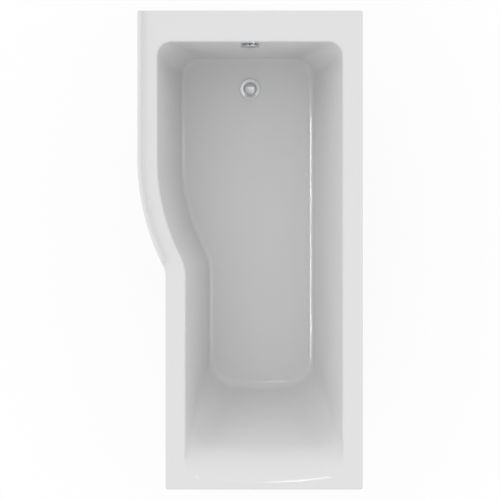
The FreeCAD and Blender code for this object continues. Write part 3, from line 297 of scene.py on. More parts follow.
def softwood(name, turn):
    finish, tree = new_finish(name)
    place = add_node(tree, "ShaderNodeTexCoord").outputs["Object"]
    along = add_node(tree, "ShaderNodeMapping", {"Vector": place, "Rotation": (0.0, 0.0, turn)})
    sway = add_node(tree, "ShaderNodeMapping", {
        "Vector": along.outputs["Vector"], "Scale": [per_metre(side) for side in GRAIN],
    })
    drift = add_node(tree, "ShaderNodeTexNoise", {"Vector": sway.outputs["Vector"], "Scale": 1.0, "Detail": 2.0})
    rings = add_node(tree, "ShaderNodeTexWave", {
        "Vector": sway.outputs["Vector"], "Scale": RING_SCALE, "Distortion": 3.0, "Detail": 2.0,
        "Phase Offset": 0.7,
    }, bands_direction="X")
    late = add_node(tree, "ShaderNodeMath", {
        0: rings.outputs["Fac"], 1: drift.outputs["Fac"],
    }, operation="MULTIPLY")
    colour = add_node(tree, "ShaderNodeMix", {
        "Factor": late.outputs["Value"], "A": linear("DDBF8B"), "B": linear("A87A42"),
    }, data_type="RGBA")
    bump = add_node(tree, "ShaderNodeBump", {
        "Height": late.outputs["Value"], "Strength": 0.3, "Distance": RING_HEIGHT * MM,
    })
    body = add_node(tree, "ShaderNodeBsdfPrincipled", {
        "Base Color": colour.outputs[2], "Roughness": 0.62, "Normal": bump.outputs["Normal"],
    })
    add_node(tree, "ShaderNodeOutputMaterial", {"Surface": body.outputs["BSDF"]})
    return finish


wood_along = softwood("planed_softwood_along", 0.0)
wood_across = softwood("planed_softwood_across", math.pi / 2)
print("softwood:", wood_along.name, wood_across.name, "with rings", RING, "mm apart")

# %% [markdown]
# ## Finishes on the CAD nodes
# The record gives each node a material slot, and each slot has one finish here. The batten across the foot end
# gets the wood whose rings run along X.

# %% Give every node its finish
FINISHES = {
    "acrylic": acrylic, "chipboard": chipboard, "timber": wood_along, "zinc_steel": zinc,
    "foot_plastic": polyamide, "white_plastic": polypropylene, "rubber": nitrile, "chrome": chrome,
}
for subpart in frame["record"]["subparts"]:
    mesh = frame["nodes"][subpart["node"]].data
    mesh.materials.clear()
    mesh.materials.append(FINISHES[subpart["material_slot"]])
frame["nodes"]["foot_rim_batten"].data.materials[0] = wood_across
print(len(frame["nodes"]), "nodes have a finish")

# %% [markdown]
# ## Plan of the bath
# The outline is a P: straight sides, a bow of 840 mm radius and a small blend into the narrow part. Every ring of
# the tub is this outline set in by a different amount on each side, so one function draws them all, always with
# the same number of points in the same order.

# %% Outline of one ring
FOOT_Y, HEAD_Y, WALL_X, FRONT_X, NARROW_X = 850.0, -850.0, 400.0, -400.0, -300.0
BOW_RADIUS, BOW_BLEND, BOW_START = 840.0, 85.0, 525.0
BOW_CENTRE = Vector((FRONT_X + BOW_RADIUS, FOOT_Y - BOW_START))
BOW_TURN = math.acos(1 - (NARROW_X - FRONT_X) / (BOW_RADIUS + BOW_BLEND))
BLEND_CENTRE = Vector((NARROW_X - BOW_BLEND, BOW_CENTRE.y - (BOW_RADIUS + BOW_BLEND) * math.sin(BOW_TURN)))
QUARTER = math.pi / 2
CORNER_STEPS, BOW_STEPS, BLEND_STEPS = 14, 40, 16
# How many steps the straight run after each arc has. The bow and its blend touch, so there is no run after arc 2.
RUN_STEPS, HEAD_RUN = {0: 18, 1: 12, 3: 18, 4: 24, 5: 36}, 4


def arc(centre, radius, first, last, steps):
    turns = [first + (last - first) * k / steps for k in range(steps + 1)]
    return [Vector((centre.x + radius * math.cos(t), centre.y + radius * math.sin(t))) for t in turns]


def outline(front, wall, foot, head, foot_corner, head_corner, head_bow=None):
    left, narrow, right = FRONT_X + front, NARROW_X + front, WALL_X - wall
    top, bottom = FOOT_Y - foot, HEAD_Y + head
    lean, corner_y = 0.0, bottom + head_corner
    if head_bow:
        lean = math.asin(((right - narrow) / 2 - head_corner) / (head_bow - head_corner))
        corner_y = bottom + head_bow - (head_bow - head_corner) * math.cos(lean)
    pieces = [
        arc(Vector((right - foot_corner, top - foot_corner)), foot_corner, 0, QUARTER, CORNER_STEPS),
        arc(Vector((left + foot_corner, top - foot_corner)), foot_corner, QUARTER, 2 * QUARTER, CORNER_STEPS),
        arc(BOW_CENTRE, BOW_RADIUS - front, 2 * QUARTER, 2 * QUARTER + BOW_TURN, BOW_STEPS),
        arc(BLEND_CENTRE, BOW_BLEND + front, BOW_TURN, 0, BLEND_STEPS),
        arc(Vector((narrow + head_corner, corner_y)), head_corner, 2 * QUARTER, 3 * QUARTER - lean, CORNER_STEPS),
        arc(Vector((right - head_corner, corner_y)), head_corner, 3 * QUARTER + lean, 4 * QUARTER, CORNER_STEPS),
    ]
    points = []
    for k, piece in enumerate(pieces):
        points += piece[:-1]
        start, end = piece[-1], pieces[(k + 1) % len(pieces)][0]
        for step in range(RUN_STEPS.get(k, 0)):
            point = start.lerp(end, step / RUN_STEPS[k])
            if k == HEAD_RUN and head_bow:
                middle = Vector(((narrow + right) / 2, bottom + head_bow))
                turn = 3 * QUARTER - lean + 2 * lean * step / RUN_STEPS[k]
                point = middle + head_bow * Vector((math.cos(turn), math.sin(turn)))
            points.append(point)
    return points


print("the bow turns by", round(math.degrees(BOW_TURN), 1), "degrees")

# %% [markdown]
# ## Section of the tub
# Each wall leans by its own amount and meets the floor in a 20 mm round. The head end is a backrest: a round foot,
# a slope of 57 degrees and a long roll out to the rim. These rules say how far each side stands in at a height.

# %% Walls and backrest at a height
TUB_FLOOR, TUB_DEPTH, SHELL = 156.0, 400.0, 6.0
FRONT_FALL, WALL_FALL, FOOT_FALL, FLOOR_ROUND = 85.0, 104.0, 58.0, 20.0
SLOPE, BACKREST_ROUND, ROLL, ROLL_LIP = math.radians(57.0), 45.0, 200.0, math.radians(10.0)
ROLL_MIDDLE = TUB_DEPTH - ROLL * math.cos(ROLL_LIP)
SLOPE_FOOT = BACKREST_ROUND * (1 - math.cos(SLOPE))
SLOPE_TOP = ROLL_MIDDLE + ROLL * math.cos(SLOPE)


def wall_set(height, fall):
    lean = math.atan(fall / TUB_DEPTH)
    if height < FLOOR_ROUND * (1 - math.sin(lean)):
        reach = fall + FLOOR_ROUND * math.tan((QUARTER - lean) / 2)
        return reach - math.sqrt(FLOOR_ROUND ** 2 - (FLOOR_ROUND - height) ** 2)
    return fall * (1 - height / TUB_DEPTH)


def backrest_set(height):
    roll_set = -ROLL * math.sin(ROLL_LIP)
    slope_set = roll_set + ROLL * math.sin(SLOPE)
    if height < SLOPE_FOOT:
        foot = slope_set + SLOPE_TOP / math.tan(SLOPE) + BACKREST_ROUND * math.tan(SLOPE / 2)
        return foot - math.sqrt(BACKREST_ROUND ** 2 - (BACKREST_ROUND - height) ** 2)
    if height < SLOPE_TOP:
        return slope_set + (SLOPE_TOP - height) / math.tan(SLOPE)
    return roll_set + math.sqrt(max(0.0, ROLL ** 2 - (height - ROLL_MIDDLE) ** 2))


print("at the floor the front wall stands in", round(wall_set(0.0, FRONT_FALL)), "mm, the backrest",
      round(backrest_set(0.0)), "mm")

# %% One ring of the tub and one of the rim
RIM_SIDE, RIM_FOOT, RIM_HEAD, RIM_CORNER, LEAST_CORNER = 70.0, 110.0, 24.0, 8.0, 2.0
# The tub's corner radii at the rim, what they gain down to the floor, and the radius of the bowed head end.
FOOT_CORNER, FOOT_GAIN, HEAD_CORNER, HEAD_GAIN, HEAD_BOW = 50.0, 25.0, 60.0, 50.0, 1600.0


def tub_ring(height, grow=0.0, flare=0.0):
    rise = 1 - height / TUB_DEPTH
    spare = wall_set(height, FRONT_FALL) - FRONT_FALL * rise
    out = grow + flare
    ring = outline(
        RIM_SIDE + wall_set(height, FRONT_FALL) - out, RIM_SIDE + wall_set(height, WALL_FALL) - out,
        RIM_FOOT + wall_set(height, FOOT_FALL) - out, RIM_HEAD + backrest_set(height) - grow,
        FOOT_CORNER + FOOT_GAIN * rise - spare + out, HEAD_CORNER + HEAD_GAIN * rise - spare + out, HEAD_BOW,
    )
    return [p.to_3d() + Vector((0, 0, TUB_FLOOR + height - grow)) for p in ring]


def rim_ring(inset, z):
    corner = max(RIM_CORNER - inset, LEAST_CORNER)
    return [p.to_3d() + Vector((0, 0, z)) for p in outline(inset, inset, inset, inset, corner, corner)]


print("a ring has", len(tub_ring(0.0)), "points in the tub and", len(rim_ring(0.0, RIM_TOP)), "at the rim")

# %% [markdown]
# ## The moulded tub
# The tub could be sculpted from a box, but four walls with four leans are easier to draw as rings. A circle is
# placed round the waste hole, and its edge is extruded ring by ring: over the floor, up the walls, over the rim,
# down the skirt, and back under the rim and down the outside of the tub. Last the two edges at the waste hole are
# bridged, so the shell is closed and 6 mm thick.

# %% Rings at the waste hole, levels of the walls, and rings that hold an edge
WASTE, HOLE_R = Vector((0.0, 575.0)), 27.0
FLOOR_TURNS = (0, 6, 12, 18, 25, 32, 40, 48, 57, 66, 75)
FLOOR_LEVELS = [FLOOR_ROUND * (1 - math.cos(math.radians(turn))) for turn in FLOOR_TURNS]
# A ring close to each side of an edge keeps its shading from spreading over the flat beside it.
LAST_ROUND_LEVEL, HOLD_LEVEL, HOLD_SHARE = 17.5, 2.0, 0.02
SLOPE_STEPS, ROLL_STEPS = 6, 12


def hole_ring(z):
    floor_edge = tub_ring(0.0)
    around = [(p.xy - WASTE).normalized() * HOLE_R + WASTE for p in floor_edge]
    return [p.to_3d() + Vector((0, 0, z)) for p in around]


def wall_levels(top):
    slope = [SLOPE_FOOT + (SLOPE_TOP - SLOPE_FOOT) * k / SLOPE_STEPS for k in range(SLOPE_STEPS + 1)]
    roll = [SLOPE_TOP + (top - SLOPE_TOP) * k / ROLL_STEPS for k in range(1, ROLL_STEPS + 1)]
    return FLOOR_LEVELS + [LAST_ROUND_LEVEL, slope[0], slope[0] + HOLD_LEVEL] + slope[1:] + roll


def between(first, second):
    shares = (HOLD_SHARE, 1 - HOLD_SHARE)
    return [[p.lerp(q, share) for p, q in zip(first, second)] for share in shares]


print(len(wall_levels(TUB_DEPTH)), "levels up a wall")

# %% List the rings from the waste hole to the back
SKIRT, EDGE_ROUND, EDGE_STEPS, BRIM_ROUND, BRIM_STEPS = 45.0, 5.0, 6, 7.0, 8
rings = [hole_ring(TUB_FLOOR)]
rings += between(rings[-1], tub_ring(0.0))
rings += [tub_ring(level) for level in wall_levels(TUB_DEPTH - BRIM_ROUND)]
for k in range(1, BRIM_STEPS + 1):
    turn = QUARTER * k / BRIM_STEPS
    level = TUB_DEPTH - BRIM_ROUND * (1 - math.sin(turn))
    rings.append(tub_ring(level, flare=BRIM_ROUND * (1 - math.cos(turn))))
rings += between(rings[-1], rim_ring(EDGE_ROUND, RIM_TOP))
for k in range(EDGE_STEPS + 1):
    turn = QUARTER * k / EDGE_STEPS
    rings.append(rim_ring(EDGE_ROUND * (1 - math.sin(turn)), RIM_TOP - EDGE_ROUND * (1 - math.cos(turn))))
rings += between(rings[-1], rim_ring(0.0, RIM_TOP - SKIRT))[:1]
rings.append(rim_ring(0.0, RIM_TOP - SKIRT))
rings.append(rim_ring(SHELL, RIM_TOP - SKIRT))
first_back = len(rings)
rings.append(rim_ring(SHELL, RIM_TOP - SHELL))
rings += [tub_ring(level, SHELL) for level in reversed(wall_levels(TUB_DEPTH))]
rings += between(rings[-1], hole_ring(TUB_FLOOR - SHELL))[:1]
rings.append(hole_ring(TUB_FLOOR - SHELL))
print(len(rings), "rings")

# %% Extrude the rings
def start_piece():
    if bpy.context.object and bpy.context.object.mode != "OBJECT":
        bpy.ops.object.mode_set(mode="OBJECT")
    bpy.ops.object.select_all(action="DESELECT")


start_piece()
bpy.ops.mesh.primitive_circle_add(vertices=len(rings[0]), radius=HOLE_R * MM)
tub = bpy.context.object
tub.name = "moulded_tub"
bpy.ops.object.mode_set(mode="EDIT")
bpy.ops.mesh.select_mode(type="EDGE")
bpy.ops.mesh.select_all(action="SELECT")
work = bmesh.from_edit_mesh(tub.data)
front = list(work.verts)
for vertex, point in zip(front, rings[0]):
    vertex.co = point * MM
for number, ring in enumerate(rings[1:], 1):
    bpy.ops.mesh.extrude_edges_move()
    behind = {vertex: k for k, vertex in enumerate(front)}
    ahead = [None] * len(front)
    for vertex in (v for v in work.verts if v.select):
        partner = next(e.other_vert(vertex) for e in vertex.link_edges if e.other_vert(vertex) in behind)
        ahead[behind[partner]] = vertex
    for vertex, point in zip(ahead, ring):
        vertex.co = point * MM
        for face in vertex.link_faces:
            face.material_index = 1 if number >= first_back else 0
    front = ahead
bmesh.update_edit_mesh(tub.data)
print(len(work.verts), "points,", len(work.faces), "faces")

# %% Close the shell at the waste hole
bpy.ops.mesh.select_all(action="DESELECT")
bpy.ops.mesh.select_non_manifold()
bpy.ops.mesh.bridge_edge_loops()
bpy.ops.mesh.select_all(action="SELECT")
bpy.ops.mesh.normals_make_consistent(inside=False)
bpy.ops.object.mode_set(mode="OBJECT")
tub.data.materials.append(acrylic)
tub.data.materials.append(glass_fibre)
print("closed shell of", len(tub.data.polygons), "faces")

# %% [markdown]
# ## The raised lip
# Along the shower side the rim stands up in a lip that carries the screen. Its section is drawn once, extruded
# along the straight edge, spun round the bow, and spun the other way about the rim's edge for its rounded end.

# %% Section of the lip
LIP_HEIGHT, LIP_WIDTH, LIP_SETBACK, LIP_ROUND, LIP_LEAN, LIP_COVE = 15.0, 11.0, 1.0, 3.0, 5.0, 9.0
# How deep its foot sinks into the rim, and where the inner round ends and the lean to the cove starts.
LIP_SINK, LEAN_START, COVE_OVERLAP, ROUND_STEPS, COVE_STEPS = 4.0, 0.3, 0.05, 6, 10
near, far, foot = LIP_SETBACK, LIP_SETBACK + LIP_WIDTH, LIP_SETBACK + LIP_WIDTH + LIP_LEAN
section = [Vector((near, -LIP_SINK))]
section += arc(Vector((near + LIP_ROUND, LIP_HEIGHT - LIP_ROUND)), LIP_ROUND, 2 * QUARTER, QUARTER, ROUND_STEPS)
section += arc(Vector((far - LIP_ROUND, LIP_HEIGHT - LIP_ROUND)), LIP_ROUND, QUARTER, LEAN_START, ROUND_STEPS)
section += arc(Vector((foot + LIP_COVE, LIP_COVE)), LIP_COVE + COVE_OVERLAP, 2 * QUARTER, 3 * QUARTER, COVE_STEPS)
section.append(Vector((foot + LIP_COVE, -LIP_SINK)))
print(len(section), "points in the lip's section")

# %% Extrude and spin the lip
# The lip ends a little before the bow does, and its end turns nearly square to the edge.
LIP_TURN, LIP_STEPS = 0.94 * BOW_TURN, 48
TIP_TURN, TIP_STEPS = math.radians(80), 12
WELD = 0.01
start_piece()
bpy.ops.mesh.primitive_circle_add(vertices=len(section), fill_type="NGON")
lip = bpy.context.object
for vertex, point in zip(lip.data.vertices, section):
    vertex.co = Vector((FRONT_X + point.x, FOOT_Y - LIP_SETBACK, RIM_TOP + point.y)) * MM
bpy.ops.object.mode_set(mode="EDIT")
bpy.ops.mesh.select_mode(type="FACE")
bpy.ops.mesh.select_all(action="SELECT")
bpy.ops.mesh.extrude_region_move(TRANSFORM_OT_translate={"value": (0, (LIP_SETBACK - BOW_START) * MM, 0)})
bow_centre = (BOW_CENTRE.x * MM, BOW_CENTRE.y * MM, RIM_TOP * MM)
bpy.ops.mesh.spin(steps=LIP_STEPS, angle=-LIP_TURN, center=bow_centre, axis=(0, 0, 1))
tip = BOW_CENTRE - Matrix.Rotation(LIP_TURN, 2) @ Vector((BOW_RADIUS, 0))
tip_centre = (tip.x * MM, tip.y * MM, RIM_TOP * MM)
bpy.ops.mesh.spin(steps=TIP_STEPS, angle=TIP_TURN, center=tip_centre, axis=(0, 0, 1))
bpy.ops.mesh.select_all(action="SELECT")
bpy.ops.mesh.remove_doubles(threshold=WELD * MM)
bpy.ops.mesh.normals_make_consistent(inside=False)
bpy.ops.object.mode_set(mode="OBJECT")
low, high = [Vector(f(v.co[k] for v in lip.data.vertices) for k in range(3)) for f in (min, max)]
print("lip from", [round(c, 3) for c in low], "to", [round(c, 3) for c in high])

# %% [markdown]
# ## Join the lip and cut the overflow hole
# A boolean union makes the lip and the tub one skin, as they are one moulding. The overflow's hole is cut square
# to the foot wall, which leans back by 58 mm in 400 mm.

# %% Booleans on the tub
OVERFLOW_DROP, CUT_DEPTH, CUT_SIDES, TUB_SMOOTH = 60.0, 60.0, 96, math.radians(32)


def boolean(target, tool, operation):
    start_piece()
    bpy.context.view_layer.objects.active = target
    step = target.modifiers.new("boolean", "BOOLEAN")
    step.operation = operation
    step.solver = "EXACT"
    step.object = tool
    bpy.ops.object.modifier_apply(modifier=step.name)
    bpy.data.objects.remove(tool)


lip.data.materials.append(acrylic)
boolean(tub, lip, "UNION")
FOOT_LEAN = math.atan(FOOT_FALL / TUB_DEPTH)
overflow_y = FOOT_Y - RIM_FOOT - FOOT_FALL * OVERFLOW_DROP / TUB_DEPTH
overflow = Vector((0.0, overflow_y, RIM_TOP - OVERFLOW_DROP))
start_piece()
bpy.ops.mesh.primitive_cylinder_add(
    vertices=CUT_SIDES, radius=HOLE_R * MM, depth=CUT_DEPTH * MM, location=overflow * MM,
    rotation=(QUARTER - FOOT_LEAN, 0, 0),
)
boolean(tub, bpy.context.object, "DIFFERENCE")
start_piece()
tub.select_set(True)
bpy.context.view_layer.objects.active = tub
bpy.ops.object.shade_smooth_by_angle(angle=TUB_SMOOTH)
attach(tub, "bath")
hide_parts("bath_shell")
print("tub has", len(tub.data.polygons), "faces")

# %% [markdown]
# ## Threaded studs
# Each leg is a length of M12 rod with a rolled thread: flat crests and flat roots, 1.75 mm from turn to turn. One
# turn is drawn as a line of four edges, and the Screw modifier winds it up the axis. Every leg is a copy of that
# rod, trimmed to its length by a bisect at each end, with the last millimetre tapered as on a real stud.

# %% Wind one long rod
PITCH, THREAD_R, DEPTH_SHARE = 1.75, 6.0, 0.6134
ROOT_R = THREAD_R - DEPTH_SHARE * PITCH
# Radius, and height in pitches: the root is a quarter of a pitch wide and the crest an eighth.
TURN = ((ROOT_R, 0.0), (ROOT_R, 0.25), (THREAD_R, 0.5625), (THREAD_R, 0.6875), (ROOT_R, 1.0))
TURN_STEPS, SPARE_TURNS, THREAD_WELD = 28, 3, 0.002
LEGS = ("head_front_leg", "head_wall_leg", "foot_front_leg", "foot_wall_leg", "centre_leg")
stud_boxes = {leg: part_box(leg + "_stud") for leg in LEGS}
longest = max(high.z - low.z for low, high in stud_boxes.values())
start_piece()
bpy.ops.mesh.primitive_plane_add(size=MM)
thread = bpy.context.object
bpy.ops.object.mode_set(mode="EDIT")
bpy.ops.mesh.select_mode(type="VERT")
bpy.ops.mesh.merge(type="CENTER")
bpy.ops.transform.translate(value=(ROOT_R * MM, 0, 0))
for (r, z), (next_r, next_z) in zip(TURN, TURN[1:]):
    step = ((next_r - r) * MM, 0, (next_z - z) * PITCH * MM)
    bpy.ops.mesh.extrude_vertices_move(TRANSFORM_OT_translate={"value": step})
bpy.ops.object.mode_set(mode="OBJECT")
wind = thread.modifiers.new("wind", "SCREW")
wind.steps = wind.render_steps = TURN_STEPS
wind.screw_offset = PITCH * MM
wind.iterations = math.ceil(longest / (PITCH * MM)) + SPARE_TURNS
bpy.ops.object.modifier_apply(modifier=wind.name)
bpy.ops.object.mode_set(mode="EDIT")
bpy.ops.mesh.select_all(action="SELECT")
bpy.ops.mesh.remove_doubles(threshold=THREAD_WELD * MM)
bpy.ops.mesh.normals_make_consistent(inside=False)
bpy.ops.object.mode_set(mode="OBJECT")
print("thread of", len(thread.data.polygons), "faces")

# %% Cut a stud for each leg
START_TURNS, STUD_TAPER, STUD_SMOOTH, CUT_WELD = 2, 1.0, math.radians(20), 0.001


def copy_of(original, name):
    start_piece()
    piece = original.copy()
    piece.data = original.data.copy()
    piece.name = piece.data.name = name
    bpy.context.scene.collection.objects.link(piece)
    piece.select_set(True)
    bpy.context.view_layer.objects.active = piece
    return piece


for leg, (low, high) in stud_boxes.items():
    stud = copy_of(thread, leg + "_threaded_stud")
    axis = (low + high) / 2
    bpy.ops.object.mode_set(mode="EDIT")
    bpy.ops.mesh.select_all(action="SELECT")
    bpy.ops.transform.translate(value=(axis.x, axis.y, low.z - START_TURNS * PITCH * MM))
    for end, way in ((low, -1), (high, 1)):
        bpy.ops.mesh.select_all(action="SELECT")
        bpy.ops.mesh.bisect(
            plane_co=end, plane_no=(0, 0, way), use_fill=True, clear_outer=True, threshold=CUT_WELD * MM
        )
    bpy.ops.object.mode_set(mode="OBJECT")
    for vertex in stud.data.vertices:
        from_end = min(vertex.co.z - low.z, high.z - vertex.co.z)
        out = (vertex.co - axis).xy
        reach = (THREAD_R - STUD_TAPER) * MM + from_end
        if out.length > reach:
            vertex.co.xy = axis.xy + out * (reach / out.length)
    bpy.ops.object.shade_smooth_by_angle(angle=STUD_SMOOTH)
    stud.data.materials.append(zinc)
    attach(stud, leg)
    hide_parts(leg + "_stud")
bpy.data.objects.remove(thread)
print(len(stud_boxes), "studs,", len(stud.data.polygons), "faces in the last")

# %% [markdown]
# ## Hexagon nuts
# Ten M12 nuts, 19 mm across the flats, clamp the studs to the steel. A nut is cut from hexagon bar and its ends
# are turned, which leaves a chamfer with curved edges. A hexagon cut by a disc with bevelled edges gets those
# curves.

# %% One nut
NUT_FLATS, NUT_HEIGHT, NUT_BORE = 19.0, 10.0, 6.15
FACE_SHARE, DISC_SHARE, CHAMFER_LEAN = 0.485, 1.03, math.radians(30)
DISC_SIDES, BORE_SIDES, NUT_SIDES = 96, 64, 6
NUT_CORNER, NUT_FACE = NUT_FLATS / math.sqrt(3), FACE_SHARE * NUT_FLATS
DISC_R = DISC_SHARE * NUT_CORNER
CHAMFER = (DISC_R - NUT_FACE) * math.tan(CHAMFER_LEAN)


def turned_piece(name, profile, sides):
    start_piece()
    (radius, z), rest = profile[0], profile[1:]
    bpy.ops.mesh.primitive_circle_add(
        vertices=sides, radius=radius * MM, fill_type="NGON", location=(0, 0, z * MM)
    )
    piece = bpy.context.object
    piece.name = name
    bpy.ops.object.transform_apply(location=True)
    bpy.ops.object.mode_set(mode="EDIT")
    bpy.ops.mesh.select_mode(type="FACE")
    bpy.ops.mesh.select_all(action="SELECT")
    for next_radius, next_z in rest:
        bpy.ops.mesh.extrude_region_move(TRANSFORM_OT_translate={"value": (0, 0, (next_z - z) * MM)})
        grow = next_radius / radius
        bpy.ops.transform.resize(value=(grow, grow, 1), center_override=(0, 0, next_z * MM))
        radius, z = next_radius, next_z
    bpy.ops.mesh.select_all(action="SELECT")
    bpy.ops.mesh.normals_make_consistent(inside=False)
    bpy.ops.object.mode_set(mode="OBJECT")
    return piece


half = NUT_HEIGHT / 2
disc = turned_piece("disc", (
    (NUT_FACE, -half), (DISC_R, CHAMFER - half), (DISC_R, half - CHAMFER), (NUT_FACE, half),
), DISC_SIDES)
nut = turned_piece("nut", ((NUT_CORNER, -half), (NUT_CORNER, half)), NUT_SIDES)
bpy.ops.object.mode_set(mode="EDIT")
bpy.ops.transform.rotate(value=math.pi / NUT_SIDES, orient_axis="Z", center_override=(0, 0, 0))
bpy.ops.object.mode_set(mode="OBJECT")
boolean(nut, disc, "INTERSECT")
bore = turned_piece("bore", ((NUT_BORE, -NUT_HEIGHT), (NUT_BORE, NUT_HEIGHT)), BORE_SIDES)
boolean(nut, bore, "DIFFERENCE")
print("nut", [round(d / MM, 2) for d in nut.dimensions], "mm")

# %% Copy the nut to the legs
HARDWARE_SMOOTH = math.radians(28)


def place_copies(original, spots, name, node):
    copies = []
    for number, spot in enumerate(spots):
        piece = copy_of(original, f"{name}_{number}")
        piece.data.transform(Matrix.Translation(spot))
        copies.append(piece)
    start_piece()
    for piece in copies:
        piece.select_set(True)
    bpy.context.view_layer.objects.active = copies[0]
    bpy.ops.object.join()
    group = bpy.context.object
    group.name = group.data.name = name
    bpy.ops.object.shade_smooth_by_angle(angle=HARDWARE_SMOOTH)
    group.data.materials.clear()
    group.data.materials.append(zinc)
    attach(group, "bath")
    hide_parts(node)
    bpy.data.objects.remove(original)
    print(name, "has", len(copies), "copies,", len(group.data.polygons), "faces")


def heights_near(node, middle, reach):
    found = [v.co.z for v in frame["nodes"][node].data.vertices if (v.co.xy - middle).length < reach * MM]
    return min(found), max(found)


nut_spots = []
for low, high in stud_boxes.values():
    middle = ((low + high) / 2).xy
    bottom, top = heights_near("leg_nuts", middle, NUT_FLATS)
    nut_spots += [(*middle, bottom + half * MM), (*middle, top - half * MM)]
place_copies(nut, nut_spots, "hexagon_nuts", "leg_nuts")

# %% [markdown]
# ## Pan-head screws
# The screws go up into the chipboard and the battens, so only their heads show, from below: a low dome with a
# cross recess for the driver. The head and shank are one extruded disc, and a cross of two blades cuts the
# recess.

# %% One screw, head down
HEAD_R, HEAD_HEIGHT, SHANK_R, SCREW_LENGTH = 4.6, 3.0, 2.4, 13.0
BLADE_LENGTH, BLADE_WIDTH, RECESS = 4.8, 1.1, 1.7
# Radius, and height as a share of the head or of the length.
HEAD = ((0.4, 1.0), (2.2, 0.97), (3.4, 0.83), (4.2, 0.6), (HEAD_R, 0.35), (HEAD_R, 0.0))
SHANK = ((SHANK_R, 0.0), (SHANK_R, 0.8), (0.3, 1.0))
SCREW_SIDES = 48
profile = [(radius, -share * HEAD_HEIGHT) for radius, share in HEAD]
profile += [(radius, share * SCREW_LENGTH) for radius, share in SHANK]
screw = turned_piece("screw", profile, SCREW_SIDES)
for long, wide in ((BLADE_LENGTH, BLADE_WIDTH), (BLADE_WIDTH, BLADE_LENGTH)):
    start_piece()
    bpy.ops.mesh.primitive_cube_add(
        size=MM, location=(0, 0, (RECESS / 2 - HEAD_HEIGHT) * MM), scale=(long, wide, 2 * RECESS)
    )
    blade = bpy.context.object
    bpy.ops.object.transform_apply(location=True, scale=True)
    boolean(screw, blade, "DIFFERENCE")
print("screw", [round(d / MM, 2) for d in screw.dimensions], "mm")

# %% Copy the screw to the bars and brackets
SCREW_REACH = 2.5 * HEAD_R * MM


def screw_spots(node):
    points = [vertex.co for vertex in frame["nodes"][node].data.vertices]
    spots = []
    for point in points:
        if all((point.xy - spot.xy).length > SCREW_REACH for spot in spots):
            near = [co for co in points if (co.xy - point.xy).length < SCREW_REACH]
            low, high = [Vector(f(co[k] for co in near) for k in range(3)) for f in (min, max)]
            spots.append(Vector((*((low + high) / 2).xy, low.z + HEAD_HEIGHT * MM)))
    return spots


spare = copy_of(screw, "spare_screw")
place_copies(screw, screw_spots("leg_bar_screws"), "bar_screws", "leg_bar_screws")
place_copies(spare, screw_spots("wall_bracket_screws"), "bracket_screws", "wall_bracket_screws")

# %% [markdown]
# ## Floor
# The photograph's ground is plain white. A floor could be lit until it is white, but that light would wash out the
# bath too. So the camera, and whatever mirrors or lets light through, sees the floor glow at the level of white
# paper, with a little of its own matt shade mixed in, which keeps the bath's shadow.

# %% White floor
FLOOR_SIZE, GLOW_SHARE, PAPER_GLOW = 60.0, 0.86, 1.04
start_piece()
bpy.ops.mesh.primitive_plane_add(size=FLOOR_SIZE, location=(0, 0, 0))
floor = bpy.context.object
floor.name = "floor"
paper, tree = new_finish("white_floor")
path = add_node(tree, "ShaderNodeLightPath")
seen = add_node(tree, "ShaderNodeMath", {
    0: path.outputs["Is Camera Ray"], 1: path.outputs["Is Glossy Ray"],
}, operation="MAXIMUM")
seen = add_node(tree, "ShaderNodeMath", {
    0: seen.outputs["Value"], 1: path.outputs["Is Transmission Ray"],
}, operation="MAXIMUM")
share = add_node(tree, "ShaderNodeMath", {0: seen.outputs["Value"], 1: GLOW_SHARE}, operation="MULTIPLY")
matt = add_node(tree, "ShaderNodeBsdfDiffuse", {"Color": linear("E6E6E6")})
glow = add_node(tree, "ShaderNodeEmission", {"Color": linear("FFFFFF"), "Strength": PAPER_GLOW})
mixed = add_node(tree, "ShaderNodeMixShader", {
    "Fac": share.outputs["Value"], 1: matt.outputs["BSDF"], 2: glow.outputs["Emission"],
})
add_node(tree, "ShaderNodeOutputMaterial", {"Surface": mixed.outputs["Shader"]})
floor.data.materials.append(paper)
print("floor", FLOOR_SIZE, "m wide")

# %% [markdown]
# ## Dome of light
# A white tub shows its shape by how much of the sky each spot sees, so the light is one soft dome and not a set of
# lamps, at a level where a colour renders about as it is written. It is dimmer straight above and leans a little
# to the bow's side. Light that goes from wall to wall would even the tub out, so only one bounce of diffuse light
# is kept.

# %% Dome
DOME_LEVEL = 1.17
STOPS = ((0.0, 0.96), (0.6, 1.0), (0.8, 0.8), (1.0, 0.5))
LEAN_FROM, LEAN_TO, LEAN, BOW_SIDE = 0.3, 0.8, 0.3, (-1.0, 0.25, 0.0)
bpy.context.scene.cycles.diffuse_bounces = 1
world = bpy.data.worlds.new("studio_dome")
world.use_nodes = True
world.node_tree.nodes.clear()
bpy.context.scene.world = world
tree = world.node_tree
toward = add_node(tree, "ShaderNodeTexCoord").outputs["Generated"]
way = add_node(tree, "ShaderNodeSeparateXYZ", {"Vector": toward})
height = add_node(tree, "ShaderNodeValToRGB", {"Fac": way.outputs["Z"]})
stops = height.color_ramp.elements
while len(stops) < len(STOPS):
    stops.new(0.5)
for stop, (z, grey) in zip(stops, STOPS):
    stop.position = z
    stop.color = (grey, grey, grey, 1.0)
lean = add_node(tree, "ShaderNodeMapRange", {
    "Value": way.outputs["Z"], "From Min": LEAN_FROM, "From Max": LEAN_TO, "To Min": 0.0, "To Max": LEAN,
})
bow_side = add_node(tree, "ShaderNodeVectorMath", {0: toward, 1: BOW_SIDE}, operation="DOT_PRODUCT")
side = add_node(tree, "ShaderNodeMath", {
    0: lean.outputs["Result"], 1: bow_side.outputs["Value"], 2: 1.0,
}, operation="MULTIPLY_ADD")
graded = add_node(tree, "ShaderNodeMath", {
    0: height.outputs["Color"], 1: side.outputs["Value"],
}, operation="MULTIPLY")
